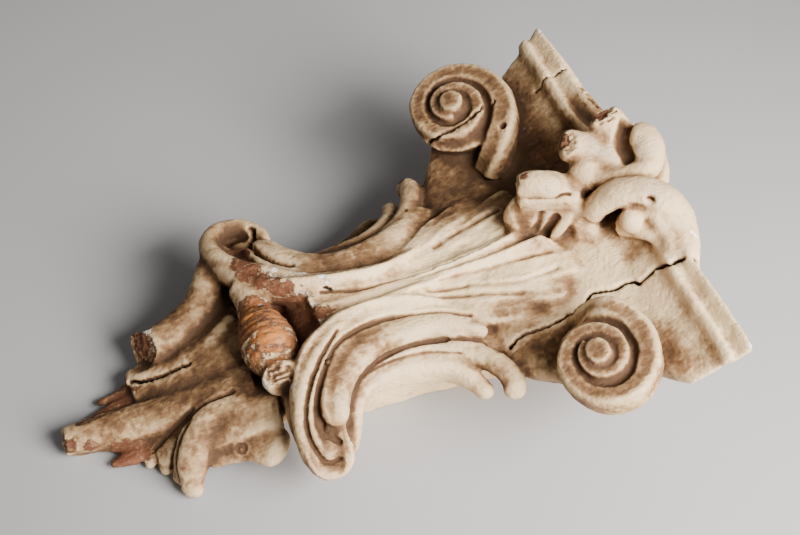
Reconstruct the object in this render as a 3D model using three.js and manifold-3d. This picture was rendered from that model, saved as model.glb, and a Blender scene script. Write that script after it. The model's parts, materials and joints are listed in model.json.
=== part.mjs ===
// A carved wooden corbel bracket, lying on its flat back.
// Millimetres. The back is the plane z = 0, the carved front faces +z and the shelf at the top faces +x.
// The origin is on the back, behind the bell, where the bracket is fixed to its wall.

import * as THREE from "three";
import { mergeVertices } from "three/addons/utils/BufferGeometryUtils.js";
import Module from "manifold-3d";

const wasm = await Module();
wasm.setup();

// Driving dimensions of the block
const TIP_X = -318;
const SHELF_X = 206;
const SHELF_HALF_WIDTH = 210;
const FULL_DEPTH = 215;
const NECK_X = -98;
const NECK_DEPTH = 99;

// The bell flares from the neck to the shelf: half width on the wall, half width and depth of its horns
const BELL_FLARE_FROM = -40;
const BELL_TOP = 165;
const BELL_BACK = { neck: 48, top: 70, power: 2 };
const BELL_HORN = { neck: 58, top: 212, power: 3 };
const BELL_HORN_DEPTH = { neck: 80, top: 120, power: 3 };
const BELL_FRONT = { neck: NECK_DEPTH, top: 120, power: 2.5 };
const BELL_SHARPNESS = { neck: 1.1, top: 11, power: 2.5 };

// The shelf's moulding, from the bell's lip up to the top: height along x and reach over the bell's lip
const MOULDING = [
  { x: 140, reach: -24 },
  { x: 163, reach: 2 },
  { x: 184, reach: 19 },
  { x: 188, reach: 29 },
  { x: 194, reach: 30 },
  { x: SHELF_X, reach: 40 },
];
const SHELF_HORN_SHARE = 0.35;
const SHELF_FRONT_SHARE = 0.75;
const SHELF_SWELL = { height: 18, halfWidth: 75 };

// The volutes: logarithmic spirals on faces that lean a little downwards
const VOLUTE_EYE = [100, 157, 127];
const VOLUTE_LEAN = 0.3;
const VOLUTE_RADIUS = 42;
const VOLUTE_OVAL = 1.18;
const VOLUTE_TIGHTENING = 0.11;
const VOLUTE_FROM = -88;
const VOLUTE_TO = 560;
const VOLUTE_RISE = 10;
const VOLUTE_BAND = 0.25;
const VOLUTE_SINK = 8;
const VOLUTE_DISC = { radius: 36, foot: 23, thickness: 34, edge: 5 };
const VOLUTE_EYE_RADIUS = 11;
const VOLUTE_ROOT = [
  { at: [84, 60, 74], half: 44, rise: 22 },
  { at: [98, 100, 82], half: 44, rise: 20 },
  { at: [110, 142, 100], half: 32, rise: 14 },
];

// The bound roll that lies across the hollow: distance along it and radius
const ROLL_CENTRE = [-136, 0, 82];
const ROLL_PROFILE = [
  [-57, 15], [-45, 17], [-38, 14], [-30, 19], [-15, 22], [0, 21], [22, 15], [40, 13], [57, 14],
];
const HOLLOW = { at: [-112, 0, 100], radii: [21, 40, 32] };

// Stations of the strands on the side of +y: a place, half a width, a rise and the way the strand faces
const SCROLL_BAND = [
  { at: [-124, 142, 50], half: 20, rise: 9, sink: 14, face: [0, 0.6, 0.8] },
  { at: [-124, 128, 60], half: 23, rise: 11, sink: 18, face: [0, 0.5, 0.86] },
  { at: [-125, 102, 74], half: 26, rise: 12, sink: 22, face: [0.1, 0.25, 0.95] },
  { at: [-114, 72, 84], half: 28, rise: 12, sink: 24, face: [0.2, 0.3, 0.93] },
  { at: [-95, 51, 90], half: 29, rise: 12, sink: 26, face: [0.1, 0.5, 0.86] },
  { at: [-62, 40, 93], half: 28, rise: 12, sink: 26, face: [0, 0.5, 0.86] },
  { at: [-25, 37, 92], half: 25, rise: 10, sink: 26, face: [0, 0.5, 0.86] },
  { at: [9, 48, 89], half: 20, rise: 8, sink: 22, face: [0, 0.5, 0.87] },
  { at: [36, 72, 84], half: 12, rise: 6, sink: 14, face: [0, 0.45, 0.9] },
];
const SCROLL_INNER = [
  { at: [-99, 116, 54], half: 10, rise: 9 },
  { at: [-96, 100, 60], half: 11, rise: 9 },
  { at: [-88, 80, 68], half: 11, rise: 9, sink: 14 },
  { at: [-67, 65, 76], half: 11, rise: 9, sink: 20 },
  { at: [-28, 64, 80], half: 12, rise: 9, sink: 22 },
  { at: [8, 75, 82], half: 14, rise: 10, sink: 20 },
  { at: [28, 96, 84], half: 15, rise: 11, sink: 14 },
  { at: [35, 114, 82], half: 16, rise: 14 },
  { at: [34, 124, 76], half: 13, rise: 12 },
];
const SCROLL_ARM = [
  { at: [-110, 40, 56], half: 26, rise: 20 },
  { at: [-120, 80, 60], half: 23, rise: 18 },
  { at: [-121, 108, 52], half: 20, rise: 20 },
  { at: [-118, 124, 46], half: 18, rise: 16 },
];
const LOBE_LINK = [
  { at: [-126, 100, 60], half: 20, rise: 14 },
  { at: [-152, 88, 58], half: 17, rise: 12 },
  { at: [-170, 84, 48], half: 15, rise: 11 },
  { at: [-186, 74, 34], half: 11, rise: 9 },
];

// One half of the broad leaf on the bell: a fluted strand that widens from the neck
const LEAF_HALF = [
  { at: [-92, 8, 94], half: 9, rise: 7, sink: 12, face: [0, 0, 1] },
  { at: [-40, 12, 96], half: 13, rise: 7, sink: 12, face: [0, 0.05, 1] },
  { at: [20, 22, 97], half: 22, rise: 7, sink: 16, face: [0, 0.2, 1] },
  { at: [80, 36, 100], half: 34, rise: 7, sink: 18, face: [-0.05, 0.3, 1] },
  { at: [124, 36, 110], half: 30, rise: 6, sink: 18, face: [-0.2, 0.25, 1] },
];
const LEAF_FLUTES = 3;
const FLUTE_DEPTH = 0.3;

// Sections of the carved bands: the floor of a channel as a share of its rise, and how full the edges are
const CHANNEL_FLOOR = 0.25;
const EDGE_FULLNESS = 8;

// The leaf's tip curled forward and is broken: the web behind it, the block left of it and the roll on top
const CURL_WEB = [
  { at: [164, 0, 96], half: 32, rise: 14, face: [-1, 0, 0.2] },
  { at: [154, 4, 128], half: 26, rise: 12, face: [-1, 0, 0.1] },
  { at: [138, 10, 152], half: 18, rise: 10, face: [-0.8, 0, -0.4] },
  { at: [122, 12, 164], half: 12, rise: 8, face: [-0.2, 0, -1] },
];
const CURL_BLOCK = { at: [129, 12, 125], size: [54, 32, 66], turn: -21 };
const CURL_CAP = [
  { at: [99, 13, 164], half: 9, rise: 9 },
  { at: [108, 8, 169], half: 12, rise: 11 },
  { at: [119, 2, 170], half: 12, rise: 11 },
  { at: [131, -5, 165], half: 8, rise: 8 },
];

// The shell-like ornament over the shelf's edge: two broken lobes, a ball, an ear, an arched leaf and a bud
const SHELL_STRANDS = [
  [
    { at: [214, 0, 138], half: 26, rise: 14 },
    { at: [206, 14, 158], half: 28, rise: 15 },
    { at: [182, 27, 165], half: 22, rise: 15 },
    { at: [150, 41, 173], half: 15, rise: 15 },
  ],
  [
    { at: [208, 14, 156], half: 20, rise: 14 },
    { at: [201, 33, 173], half: 17, rise: 14 },
    { at: [193, 52, 184], half: 16, rise: 15 },
  ],
  [
    { at: [198, 4, 146], half: 22, rise: 16 },
    { at: [180, 12, 150], half: 20, rise: 16 },
    { at: [160, 15, 154], half: 14, rise: 14 },
  ],
  [
    { at: [178, -3, 160], half: 9, rise: 8 },
    { at: [200, -10, 167], half: 12, rise: 10 },
    { at: [216, 2, 177], half: 15, rise: 12 },
    { at: [212, 24, 181], half: 11, rise: 9 },
  ],
  [
    { at: [157, -15, 138], half: 11, rise: 11 },
    { at: [166, -20, 156], half: 14, rise: 11 },
    { at: [190, -33, 170], half: 15, rise: 11 },
    { at: [212, -60, 163], half: 14, rise: 10 },
    { at: [208, -98, 145], half: 9, rise: 7 },
    { at: [195, -134, 138], half: 6, rise: 4 },
  ],
  [
    { at: [168, -26, 126], half: 16, rise: 16 },
    { at: [184, -42, 144], half: 20, rise: 16 },
    { at: [203, -66, 142], half: 17, rise: 12 },
    { at: [204, -96, 132], half: 11, rise: 9 },
  ],
];

// The leaf that ends the bracket: half widths to -y and +y, height at its middle and at its edges
const LOWER_LEAF = [
  { x: TIP_X, right: 8, left: 9, ridge: 13, edge: 8 },
  { x: -285, right: 14, left: 12, ridge: 19, edge: 8 },
  { x: -266, right: 30, left: 16, ridge: 21, edge: 6 },
  { x: -252, right: 42, left: 40, ridge: 24, edge: 9 },
  { x: -240, right: 52, left: 58, ridge: 27, edge: 13 },
  { x: -222, right: 62, left: 64, ridge: 32, edge: 18 },
  { x: -202, right: 64, left: 70, ridge: 38, edge: 26 },
  { x: -176, right: 64, left: 76, ridge: 45, edge: 38 },
  { x: -148, right: 64, left: 72, ridge: 53, edge: 48 },
  { x: -118, right: 58, left: 60, ridge: 58, edge: 56 },
  { x: -60, right: 54, left: 54, ridge: 72, edge: 50 },
];
const LOWER_LEAF_SPREAD = 0.8;
const LOWER_LEAF_ROUNDING = 0.7;

// Its midrib and its lobes, whole on the side of -y and broken on that of +y
const MIDRIB = [
  { at: [TIP_X, 4, 14], half: 12, rise: 12 },
  { at: [-298, 2, 16], half: 15, rise: 14 },
  { at: [-270, -2, 20], half: 17, rise: 13 },
  { at: [-240, -7, 26], half: 19, rise: 12 },
  { at: [-207, -12, 34], half: 21, rise: 12 },
  { at: [-182, -16, 42], half: 23, rise: 12 },
  { at: [-152, -22, 50], half: 26, rise: 12 },
];
const WHOLE_LOBES = [
  [
    { at: [-146, 52, 52], half: 18, rise: 10 },
    { at: [-190, 39, 43], half: 18, rise: 11, sink: 18, face: [-0.2, 0.3, 1] },
    { at: [-208, 46, 38], half: 17, rise: 12, sink: 18, face: [-0.4, 0.4, 0.9] },
    { at: [-222, 60, 29], half: 16, rise: 12, sink: 18, face: [-0.6, 0.5, 0.7] },
    { at: [-229, 74, 15], half: 12, rise: 10, sink: 12, face: [-0.6, 0.5, 0.6] },
    { at: [-225, 85, 5], half: 6, rise: 6, face: [-0.6, 0.5, 0.6] },
  ],
  [
    { at: [-208, 58, 28], half: 17, rise: 9, sink: 12, face: [-0.2, 0.5, 0.9] },
    { at: [-180, 64, 34], half: 18, rise: 9, sink: 12, face: [0, 0.5, 0.9] },
    { at: [-150, 92, 40], half: 17, rise: 9, sink: 12, face: [0, 0.5, 0.9] },
  ],
  [
    { at: [-204, 33, 36], half: 10, rise: 7 },
    { at: [-228, 47, 22], half: 9, rise: 6 },
    { at: [-243, 59, 6], half: 5, rise: 5 },
  ],
  [
    { at: [-220, 20, 29], half: 8, rise: 5 },
    { at: [-242, 31, 17], half: 7, rise: 5 },
    { at: [-259, 41, 6], half: 4, rise: 4 },
  ],
];
const BROKEN_LOBES = [
  [
    { at: [-138, 120, 60], half: 14, rise: 14 },
    { at: [-162, 87, 60], half: 16, rise: 15 },
    { at: [-199, 61, 46], half: 17, rise: 15 },
    { at: [-242, 62, 35], half: 16, rise: 15 },
  ],
  [
    { at: [-150, 44, 60], half: 10, rise: 9 },
    { at: [-185, 28, 47], half: 11, rise: 9 },
    { at: [-212, 32, 36], half: 12, rise: 8 },
    { at: [-250, 48, 20], half: 9, rise: 5 },
  ],
  [
    { at: [-232, 32, 15], half: 9, rise: 4 },
    { at: [-256, 37, 11], half: 8, rise: 4 },
    { at: [-281, 40, 8], half: 3, rise: 2 },
  ],
  [
    { at: [-248, -22, 13], half: 9, rise: 4 },
    { at: [-268, -28, 9], half: 9, rise: 4 },
    { at: [-287, -28, 6], half: 3, rise: 2 },
  ],
];

// How finely the forms are faceted: steps along and sides around
const FACETS = {
  bell: { steps: 12, sides: 24 },
  shelf: { sides: 30 },
  lowerLeaf: { sides: 16 },
  voluteStations: 26,
  voluteBand: { steps: 28, sides: 6 },
  voluteDisc: 14,
  voluteEye: [8, 6],
  voluteRoot: { steps: 4, sides: 10 },
  scrollBand: { steps: 14, sides: 12 },
  scrollInner: { steps: 10, sides: 6 },
  scrollArm: { steps: 4, sides: 8 },
  lobeLink: { steps: 4, sides: 7 },
  leafHalf: { steps: 8, sides: 18 },
  midrib: { steps: 7, sides: 8 },
  curlWeb: { steps: 6, sides: 10 },
  curlCap: { steps: 4, sides: 8 },
  shell: { steps: 6, sides: 6 },
  brokenLobe: { steps: 5, sides: 7 },
  wholeLobe: { steps: 6, sides: 7 },
  roll: 12,
  hollow: [14, 10],
};
const ROOM_AROUND = 60;
const MERGE_DISTANCE = 1e-3;

const PAINTED_WOOD = { color: 0xb9a27c, roughness: 0.8, metalness: 0 };

// A closed geometry's shared vertices, as a solid for joining and cutting
function solid(geometry) {
  geometry.deleteAttribute("normal");
  geometry.deleteAttribute("uv");
  const merged = mergeVertices(geometry, MERGE_DISTANCE);
  const vertProperties = new Float32Array(merged.getAttribute("position").array);
  const triVerts = new Uint32Array(merged.getIndex().array);
  return new wasm.Manifold(new wasm.Mesh({ numProp: 3, vertProperties, triVerts }));
}

// The same geometry on the other side of the plane y = 0
function mirrored(geometry) {
  const other = geometry.clone().scale(1, -1, 1);
  const index = other.getIndex();
  for (let i = 0; i < index.count; i += 3) {
    const first = index.getX(i);
    index.setX(i, index.getX(i + 2));
    index.setX(i + 2, first);
  }
  return other;
}

function joined(solids) {
  return solids.reduce((whole, piece) => whole.add(piece));
}

function onBothSides(geometry) {
  const other = mirrored(geometry);
  return solid(geometry).add(solid(other));
}

// Value at f between a neck and a top, easing by a power
function flare({ neck, top, power = 1 }, f) {
  return neck + (top - neck) * Math.max(0, f) ** power;
}

// Sections of a strand: a plain rounded one, a channel between two raised edges, and a row of flutes
const rounded = (x, z, size) => [size.x * x, z > 0 ? size.y * z : size.z * z];
const channelled = (x, z, size) => {
  const edge = CHANNEL_FLOOR + (1 - CHANNEL_FLOOR) * x * x;
  return [size.x * x, z > 0 ? size.y * edge * Math.sqrt(1 - x ** EDGE_FULLNESS) : size.z * z];
};
const fluted = (x, z, size) => {
  const ridge = 1 - FLUTE_DEPTH + FLUTE_DEPTH * Math.cos(Math.PI * LEAF_FLUTES * (x + 1));
  return [size.x * x, z > 0 ? size.y * ridge * Math.sqrt(1 - x ** EDGE_FULLNESS) : size.z * z];
};

// A strand swept along its stations, closed at both ends
function strand(stations, { steps, sides }, section = rounded) {
  const through = (points) => new THREE.CatmullRomCurve3(points, false, "catmullrom", 0.5);
  const path = through(stations.map(({ at }) => new THREE.Vector3(...at)));
  const facing = through(stations.map(({ face = [0, 0, 1] }) => new THREE.Vector3(...face)));
  const sizes = through(stations.map(({ half, rise, sink = rise }) => new THREE.Vector3(half, rise, sink)));
  const geometry = new THREE.CylinderGeometry(1, 1, 1, sides, steps);
  const position = geometry.getAttribute("position");
  for (let i = 0; i < position.count; i += 1) {
    const t = position.getY(i) + 0.5;
    const [across, out] = section(position.getX(i), position.getZ(i), sizes.getPoint(t));
    const along = path.getTangent(t);
    const face = facing.getPoint(t);
    face.addScaledVector(along, -face.dot(along)).normalize();
    const width = new THREE.Vector3().crossVectors(along, face);
    const point = path.getPoint(t).addScaledVector(width, across).addScaledVector(face, out);
    position.setXYZ(i, ...point);
  }
  return geometry;
}

// A block lofted along x. outline(level, side, u) gives its points, u from 0 at the wall to 1 at the front
function lofted(levels, outline, sides) {
  const steps = levels.length - 1;
  const geometry = new THREE.CylinderGeometry(1, 1, 1, sides, steps, false, Math.PI / sides);
  const position = geometry.getAttribute("position");
  for (let i = 0; i < position.count; i += 1) {
    const level = levels[Math.round((position.getY(i) + 0.5) * steps)];
    const onCap = Math.hypot(position.getX(i), position.getZ(i)) < 0.5;
    const turn = -Math.atan2(position.getX(i), position.getZ(i)) / Math.PI;
    const u = 1 - Math.min(1, Math.abs(turn) / (1 - 1 / sides));
    const [x, y, z] = outline(level, Math.sign(turn), onCap ? 0 : u);
    position.setXYZ(i, x, onCap ? 0 : y, onCap ? outline(level, 1, 1)[2] / 2 : z);
  }
  return geometry;
}

// Half an outline between a wall edge and the front's middle, drawn out towards a horn between them
function hornedOutline({ back, horn, hornDepth, front, sharpness }, side, u) {
  const weights = [(1 - u) ** 2, 2 * sharpness * u * (1 - u), u ** 2];
  const total = weights[0] + weights[1] + weights[2];
  const y = (weights[0] * back + weights[1] * horn) / total;
  const z = (weights[1] * hornDepth + weights[2] * front) / total;
  return [side * y, z];
}

function bellShape(x) {
  const f = (x - BELL_FLARE_FROM) / (BELL_TOP - BELL_FLARE_FROM);
  return {
    back: flare(BELL_BACK, f),
    horn: flare(BELL_HORN, f),
    hornDepth: flare(BELL_HORN_DEPTH, f),
    front: flare(BELL_FRONT, f),
    sharpness: flare(BELL_SHARPNESS, f),
  };
}

function bell() {
  const { steps, sides } = FACETS.bell;
  const levels = Array.from({ length: steps + 1 }, (_, i) => NECK_X + ((BELL_TOP - NECK_X) * i) / steps);
  return lofted(levels, (x, side, u) => [x, ...hornedOutline(bellShape(x), side, u)], sides);
}

function shelf() {
  return lofted(MOULDING, ({ x, reach }, side, u) => {
    const lip = bellShape(Math.min(x, BELL_TOP));
    const front = lip.front + SHELF_FRONT_SHARE * reach;
    const horn = lip.horn + SHELF_HORN_SHARE * reach;
    const [y, z] = hornedOutline({ ...lip, front, horn, hornDepth: lip.hornDepth + reach }, side, u);
    const share = ((x - MOULDING[0].x) / (SHELF_X - MOULDING[0].x)) * (z / front) ** 2;
    const swell = SHELF_SWELL.height * Math.exp(-((y / SHELF_SWELL.halfWidth) ** 4));
    return [x + share * swell, y, z];
  }, FACETS.shelf.sides);
}

// A round body turned about its own axis from radii and heights
function turned(profile, sides) {
  return new THREE.LatheGeometry(profile.map((point) => new THREE.Vector2(...point)), sides);
}

function voluteFrame() {
  const out = new THREE.Vector3(-VOLUTE_LEAN, 0, 1).normalize();
  const up = new THREE.Vector3(1, 0, VOLUTE_LEAN).normalize();
  const aside = new THREE.Vector3(0, VOLUTE_OVAL, 0);
  return { eye: new THREE.Vector3(...VOLUTE_EYE), out, up, aside };
}

// One volute with its stem: the outer turn starts at the bell, and the inner end closes on the eye
function volute() {
  const { eye, out, up, aside } = voluteFrame();
  const count = FACETS.voluteStations;
  const stations = Array.from({ length: count + 1 }, (_, i) => {
    const angle = THREE.MathUtils.degToRad(VOLUTE_FROM + ((VOLUTE_TO - VOLUTE_FROM) * i) / count);
    const radius = VOLUTE_RADIUS * Math.exp(-VOLUTE_TIGHTENING * angle);
    const at = eye.clone().addScaledVector(up, radius * Math.cos(angle));
    at.addScaledVector(aside, radius * Math.sin(angle)).addScaledVector(out, (VOLUTE_RISE * i) / count);
    const half = VOLUTE_BAND * radius;
    return { at: [...at], half, rise: half, sink: half + VOLUTE_SINK, face: [...out] };
  });
  const band = strand(stations, FACETS.voluteBand);
  const { radius, foot, thickness, edge } = VOLUTE_DISC;
  const top = VOLUTE_RISE - edge;
  const profile = [[0, -thickness], [foot, -thickness], [radius, -edge], [radius - edge, 0], [0, top]];
  const disc = turned(profile, FACETS.voluteDisc);
  disc.applyMatrix4(new THREE.Matrix4().makeBasis(up, out, aside.clone().negate()).setPosition(eye));
  const button = new THREE.SphereGeometry(VOLUTE_EYE_RADIUS, ...FACETS.voluteEye);
  button.translate(...eye.clone().addScaledVector(out, VOLUTE_RISE));
  return [band, disc, button];
}

function boundRoll() {
  const ends = [ROLL_PROFILE[0][0], ROLL_PROFILE[ROLL_PROFILE.length - 1][0]];
  const profile = [[0, ends[0]], ...ROLL_PROFILE.map(([along, radius]) => [radius, along]), [0, ends[1]]];
  return turned(profile, FACETS.roll).translate(...ROLL_CENTRE);
}

function lowerLeaf() {
  return lofted(LOWER_LEAF, ({ x, right, left, ridge, edge }, side, u) => {
    const half = side < 0 ? right : left;
    const height = edge + (ridge - edge) * u ** LOWER_LEAF_ROUNDING;
    return [x, side * half * (1 - u) ** LOWER_LEAF_SPREAD, u < 1e-6 ? 0 : height];
  }, FACETS.lowerLeaf.sides);
}

function curlBlock() {
  const { at, size, turn } = CURL_BLOCK;
  return new THREE.BoxGeometry(...size).rotateZ(THREE.MathUtils.degToRad(turn)).translate(...at);
}

function box(low, high) {
  const size = high.map((value, axis) => value - low[axis]);
  const geometry = new THREE.BoxGeometry(...size);
  return geometry.translate(...low.map((value, axis) => value + size[axis] / 2));
}

function hollow() {
  const [x, y, z] = HOLLOW.radii;
  return new THREE.SphereGeometry(1, ...FACETS.hollow).scale(x, y, z).translate(...HOLLOW.at);
}

function carvedCorbel() {
  const block = joined([bell(), lowerLeaf()].map(solid)).subtract(solid(hollow()));
  const paired = [
    ...volute(),
    strand(VOLUTE_ROOT, FACETS.voluteRoot),
    strand(SCROLL_BAND, FACETS.scrollBand, channelled),
    strand(SCROLL_INNER, FACETS.scrollInner),
    strand(SCROLL_ARM, FACETS.scrollArm),
    strand(LOBE_LINK, FACETS.lobeLink),
    strand(LEAF_HALF, FACETS.leafHalf, fluted),
  ].map(onBothSides);
  const single = [
    shelf(),
    boundRoll(),
    strand(MIDRIB, FACETS.midrib),
    curlBlock(),
    strand(CURL_WEB, FACETS.curlWeb),
    strand(CURL_CAP, FACETS.curlCap),
    ...SHELL_STRANDS.map((lobe) => strand(lobe, FACETS.shell)),
    ...BROKEN_LOBES.map((lobe) => strand(lobe, FACETS.brokenLobe)),
    ...WHOLE_LOBES.map((lobe) => mirrored(strand(lobe, FACETS.wholeLobe))),
  ].map(solid);
  const low = [TIP_X - ROOM_AROUND, -SHELF_HALF_WIDTH, 0];
  const high = [SHELF_X + ROOM_AROUND, SHELF_HALF_WIDTH, FULL_DEPTH];
  return joined([block, ...paired, ...single]).intersect(solid(box(low, high)));
}

function asMesh(name, shape) {
  const { vertProperties, triVerts } = shape.getMesh();
  const geometry = new THREE.BufferGeometry();
  geometry.setAttribute("position", new THREE.BufferAttribute(vertProperties, 3));
  geometry.setIndex(new THREE.BufferAttribute(triVerts, 1));
  geometry.computeVertexNormals();
  const mesh = new THREE.Mesh(geometry, new THREE.MeshStandardMaterial(PAINTED_WOOD));
  mesh.name = name;
  return mesh;
}

const corbel = new THREE.Group();
corbel.add(asMesh("carved_corbel", carvedCorbel()));

export default corbel;
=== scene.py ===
"""A carved and painted wooden corbel bracket, lying on its back on a pale studio floor.

The forms are swept and lofted roughly, fused into one body, then carved, broken and weathered.
Stations and sizes are in millimetres in the frame of the part: +X up to the shelf, +Z out of the wall.
"""

import json
import math

import bmesh
import bpy
import numpy as np
from bpy.props import FloatProperty, FloatVectorProperty, IntProperty, PointerProperty
from bpy.types import Operator, Panel, PropertyGroup
from mathutils import Matrix, Vector, noise
from mathutils.bvhtree import BVHTree

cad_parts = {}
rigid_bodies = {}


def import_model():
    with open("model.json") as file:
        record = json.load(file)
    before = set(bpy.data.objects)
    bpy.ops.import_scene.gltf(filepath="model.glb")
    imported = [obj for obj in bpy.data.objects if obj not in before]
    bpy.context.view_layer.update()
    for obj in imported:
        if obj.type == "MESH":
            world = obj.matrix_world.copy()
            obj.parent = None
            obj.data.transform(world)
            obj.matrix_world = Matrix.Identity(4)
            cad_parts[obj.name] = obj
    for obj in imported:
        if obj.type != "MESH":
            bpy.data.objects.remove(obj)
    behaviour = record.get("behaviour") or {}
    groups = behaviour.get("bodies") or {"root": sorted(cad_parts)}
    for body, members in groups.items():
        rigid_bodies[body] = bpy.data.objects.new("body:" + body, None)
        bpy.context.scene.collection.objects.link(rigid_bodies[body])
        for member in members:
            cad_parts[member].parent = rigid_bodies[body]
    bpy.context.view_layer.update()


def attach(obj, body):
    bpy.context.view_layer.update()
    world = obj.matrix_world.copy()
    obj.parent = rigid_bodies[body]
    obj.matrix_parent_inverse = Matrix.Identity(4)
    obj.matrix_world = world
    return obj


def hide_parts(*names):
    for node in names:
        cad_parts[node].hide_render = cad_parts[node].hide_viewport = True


bl_info = {
    "name": "Carved corbel",
    "version": (1, 0, 0),
    "blender": (4, 5, 0),
    "location": "View3D > Sidebar > Corbel",
    "description": "Builds a carved and painted wooden corbel bracket on a studio floor",
    "category": "Add Mesh",
}

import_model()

MM = 0.001
NODE = "carved_corbel"
CLAY = "clay_"
# Points this close are one, a curve's direction is taken over this step, and a blunt end keeps this much
MERGE = 1e-6
NUDGE = 1e-3
THINNEST_END = 1e-3
# Share of a loft's outline that isn't its flat back
FRONT_SHARE = 0.96
# Rays that look for hollows: where they start and end, in metres, and how far they lean to the normal
RAY_START = 0.0015
RAY_REACH = 0.06
RAY_LEAN = 1.02

# Sections of strands: the power that sharpens their edges, and swells on top as height, centre and width
SHARP_EDGE = 10
SOFT_EDGE = 6
TONGUE_EDGE = 4
CHANNEL_LEVEL = 0.25
CHANNEL = [(0.5, 0.95, 0.16), (0.25, 0.62, 0.09), (-0.2, 0, 0.42), (0.3, -0.62, 0.08), (0.3, -0.85, 0.1)]
BLADE_LEVEL = 0.45
BLADE = [(0.5, 0.95, 0.12), (-0.3, 0.45, 0.35), (0.2, -0.6, 0.5)]
BLADE_RIBS = {"height": 0.07, "pace": 13, "gain": 2, "smooth": (1, 0.9, 0.7)}
LOBE_LEVEL = 0.85
LOBE_RIBS = {"height": 0.07, "pace": 9}
BAND_HOLLOW = (-0.12, 0, 0.45)
TONGUE_HOLLOW = (-0.18, -0.35, 0.22)

# From here on a strand is a list of stops, each a row of what stop() takes

# The bell, its shelf and the lower leaf
NECK_X = -98
BELL_FLARE_FROM = -40
BELL_TOP = 165
SHELF_X = 206
# The horns are cut off at this y, above this x
HORN_END = 210
HORN_FROM = 145
# Outline of the bell at its neck, at its top, and the power of the flare between them
BELL = {
    "back": (48, 70, 2), "horn": (58, 212, 3), "horn_depth": (80, 120, 3), "front": (99, 120, 2.5),
    "sharpness": (1.1, 11, 2.5),
}
# The shelf's moulding: x and how far it stands out
MOULDING = [
    (146, -6), (156, -2), (165, 1), (175, 10), (182, 16), (184, 19), (185, 27), (188, 31), (191, 31.5),
    (193, 29), (194, 27), (196, 29), (199, 34), (203, 39), (206, 40),
]
# Share of that which each part of the outline takes
SHELF_REACH = {"front": 0.75, "horn": 0.35, "horn_depth": 1}
SHELF_SWELL = {"height": 18, "half_width": 75}
# The lower leaf: x, half its width on each side, height of its ridge and of its edge
LOWER_LEAF = [
    (-313, 8, 9, 13, 8), (-285, 14, 12, 19, 8), (-266, 30, 16, 21, 6), (-252, 42, 40, 24, 9),
    (-240, 52, 58, 27, 13), (-222, 62, 64, 32, 18), (-202, 64, 70, 38, 26), (-176, 64, 76, 45, 38),
    (-148, 64, 72, 53, 48), (-118, 58, 60, 58, 56), (-60, 54, 54, 72, 50),
]
LOWER_LEAF_ROUNDING = 0.7
LOWER_LEAF_SPREAD = 0.8
HOLLOW = {"at": (-112, 0, 103), "radii": (25, 40, 27)}
HOLLOW_WALL = [(-93, 42, 62, 16, 18), (-91, 5, 66, 18, 18), (-93, -34, 68, 16, 18)]

# The volutes
VOLUTES = [
    {"hand": 1, "eye": (100, 154, 128), "radius": 43},
    {"hand": -1, "eye": (100, 160, 126), "radius": 40},
]
VOLUTE_LEAN = 0.3
VOLUTE_OVAL = 1.18
VOLUTE_TIGHTENING = 0.11
VOLUTE_TURN = (-88, 610)
VOLUTE_RISE = 14
VOLUTE_DIP = 26
VOLUTE_STEPS = 60
VOLUTE_DIP_SHARE = 0.06
VOLUTE_BAND = {"half": 0.26, "rise": 0.85, "foot": 14}
VOLUTE_DISC = 0.92
# Cones of a volute: from, to, base and top radius, None standing for the disc's
VOLUTE_CONES = [(-36, 0, 24, None), (0, 12, None, 9), (-8, 20, 14, 10)]
VOLUTE_ROOT = [(84, 60, 74, 48, 24), (98, 100, 82, 48, 22), (110, 142, 100, 34, 14)]

# The C-scrolls, drawn on the side of +y: what is near is mirrored to -y
NEAR_BAND = [
    (-123, 141, 50, 20, 9, 14, (0, 0.6, 0.8)), (-122, 130, 59, 20, 10, 18, (0, 0.5, 0.86)),
    (-122, 114, 68, 21, 11, 20, (0, 0.35, 0.93)), (-121, 97, 76, 23, 12, 22, (0.1, 0.2, 0.95)),
    (-111, 72, 84, 25, 12, 24, (0.2, 0.3, 0.93)), (-93, 51, 90, 27, 12, 26, (0.1, 0.5, 0.86)),
    (-62, 40, 93, 28, 11, 26, (0, 0.5, 0.86)), (-25, 37, 92, 25, 10, 26, (0, 0.5, 0.86)),
    (9, 48, 89, 20, 8, 22, (0, 0.5, 0.87)), (36, 72, 84, 12, 6, 14, (0, 0.45, 0.9)),
]
SCROLL_ROOT = [(4, 58, 74, 18, 12), (34, 68, 76, 20, 10), (68, 80, 78, 16, 8)]
FAR_BAND = [
    (-127, 148, 50, 29, 9, 14, (0, 0.6, 0.8)), (-127, 134, 59, 29, 10, 18, (0, 0.5, 0.86)),
    (-128, 116, 68, 30, 11, 20, (0, 0.35, 0.93)), (-127, 97, 76, 31, 12, 22, (0.1, 0.2, 0.95)),
    (-117, 72, 84, 31, 12, 24, (0.2, 0.3, 0.93)), (-97, 51, 90, 30, 12, 26, (0.1, 0.5, 0.86)),
    *NEAR_BAND[6:],
]
SCROLL_BULB = {"at": (-122, 112, 50), "radii": (18, 22, 22)}
NEAR_RIM = [
    (-103, 104, 64, 5, 5), (-104, 119, 57, 5, 6), (-113, 131, 52, 6, 6), (-128, 134, 52, 6, 7),
    (-138, 120, 62, 6, 7), (-139, 102, 75, 6, 8), (-132, 82, 86, 6, 8), (-114, 57, 96, 6, 7),
    (-80, 31, 103, 6, 6), (-38, 18, 103, 5, 5), (11, 9, 100, 4, 4), (80, 2, 101, 3, 3),
]
SCROLL_INNER = [
    (-103, 120, 50, 7, 8), (-94, 101, 58, 8, 8, 12), (-86, 86, 66, 8, 8, 14), (-70, 74, 73, 8, 8, 20),
    (-45, 71, 77, 8, 8, 22), (-16, 77, 78, 8, 8, 20), (4, 88, 76, 8, 8, 18), (17, 104, 71, 8, 8, 12),
    (22, 119, 66, 8, 8),
]
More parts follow.
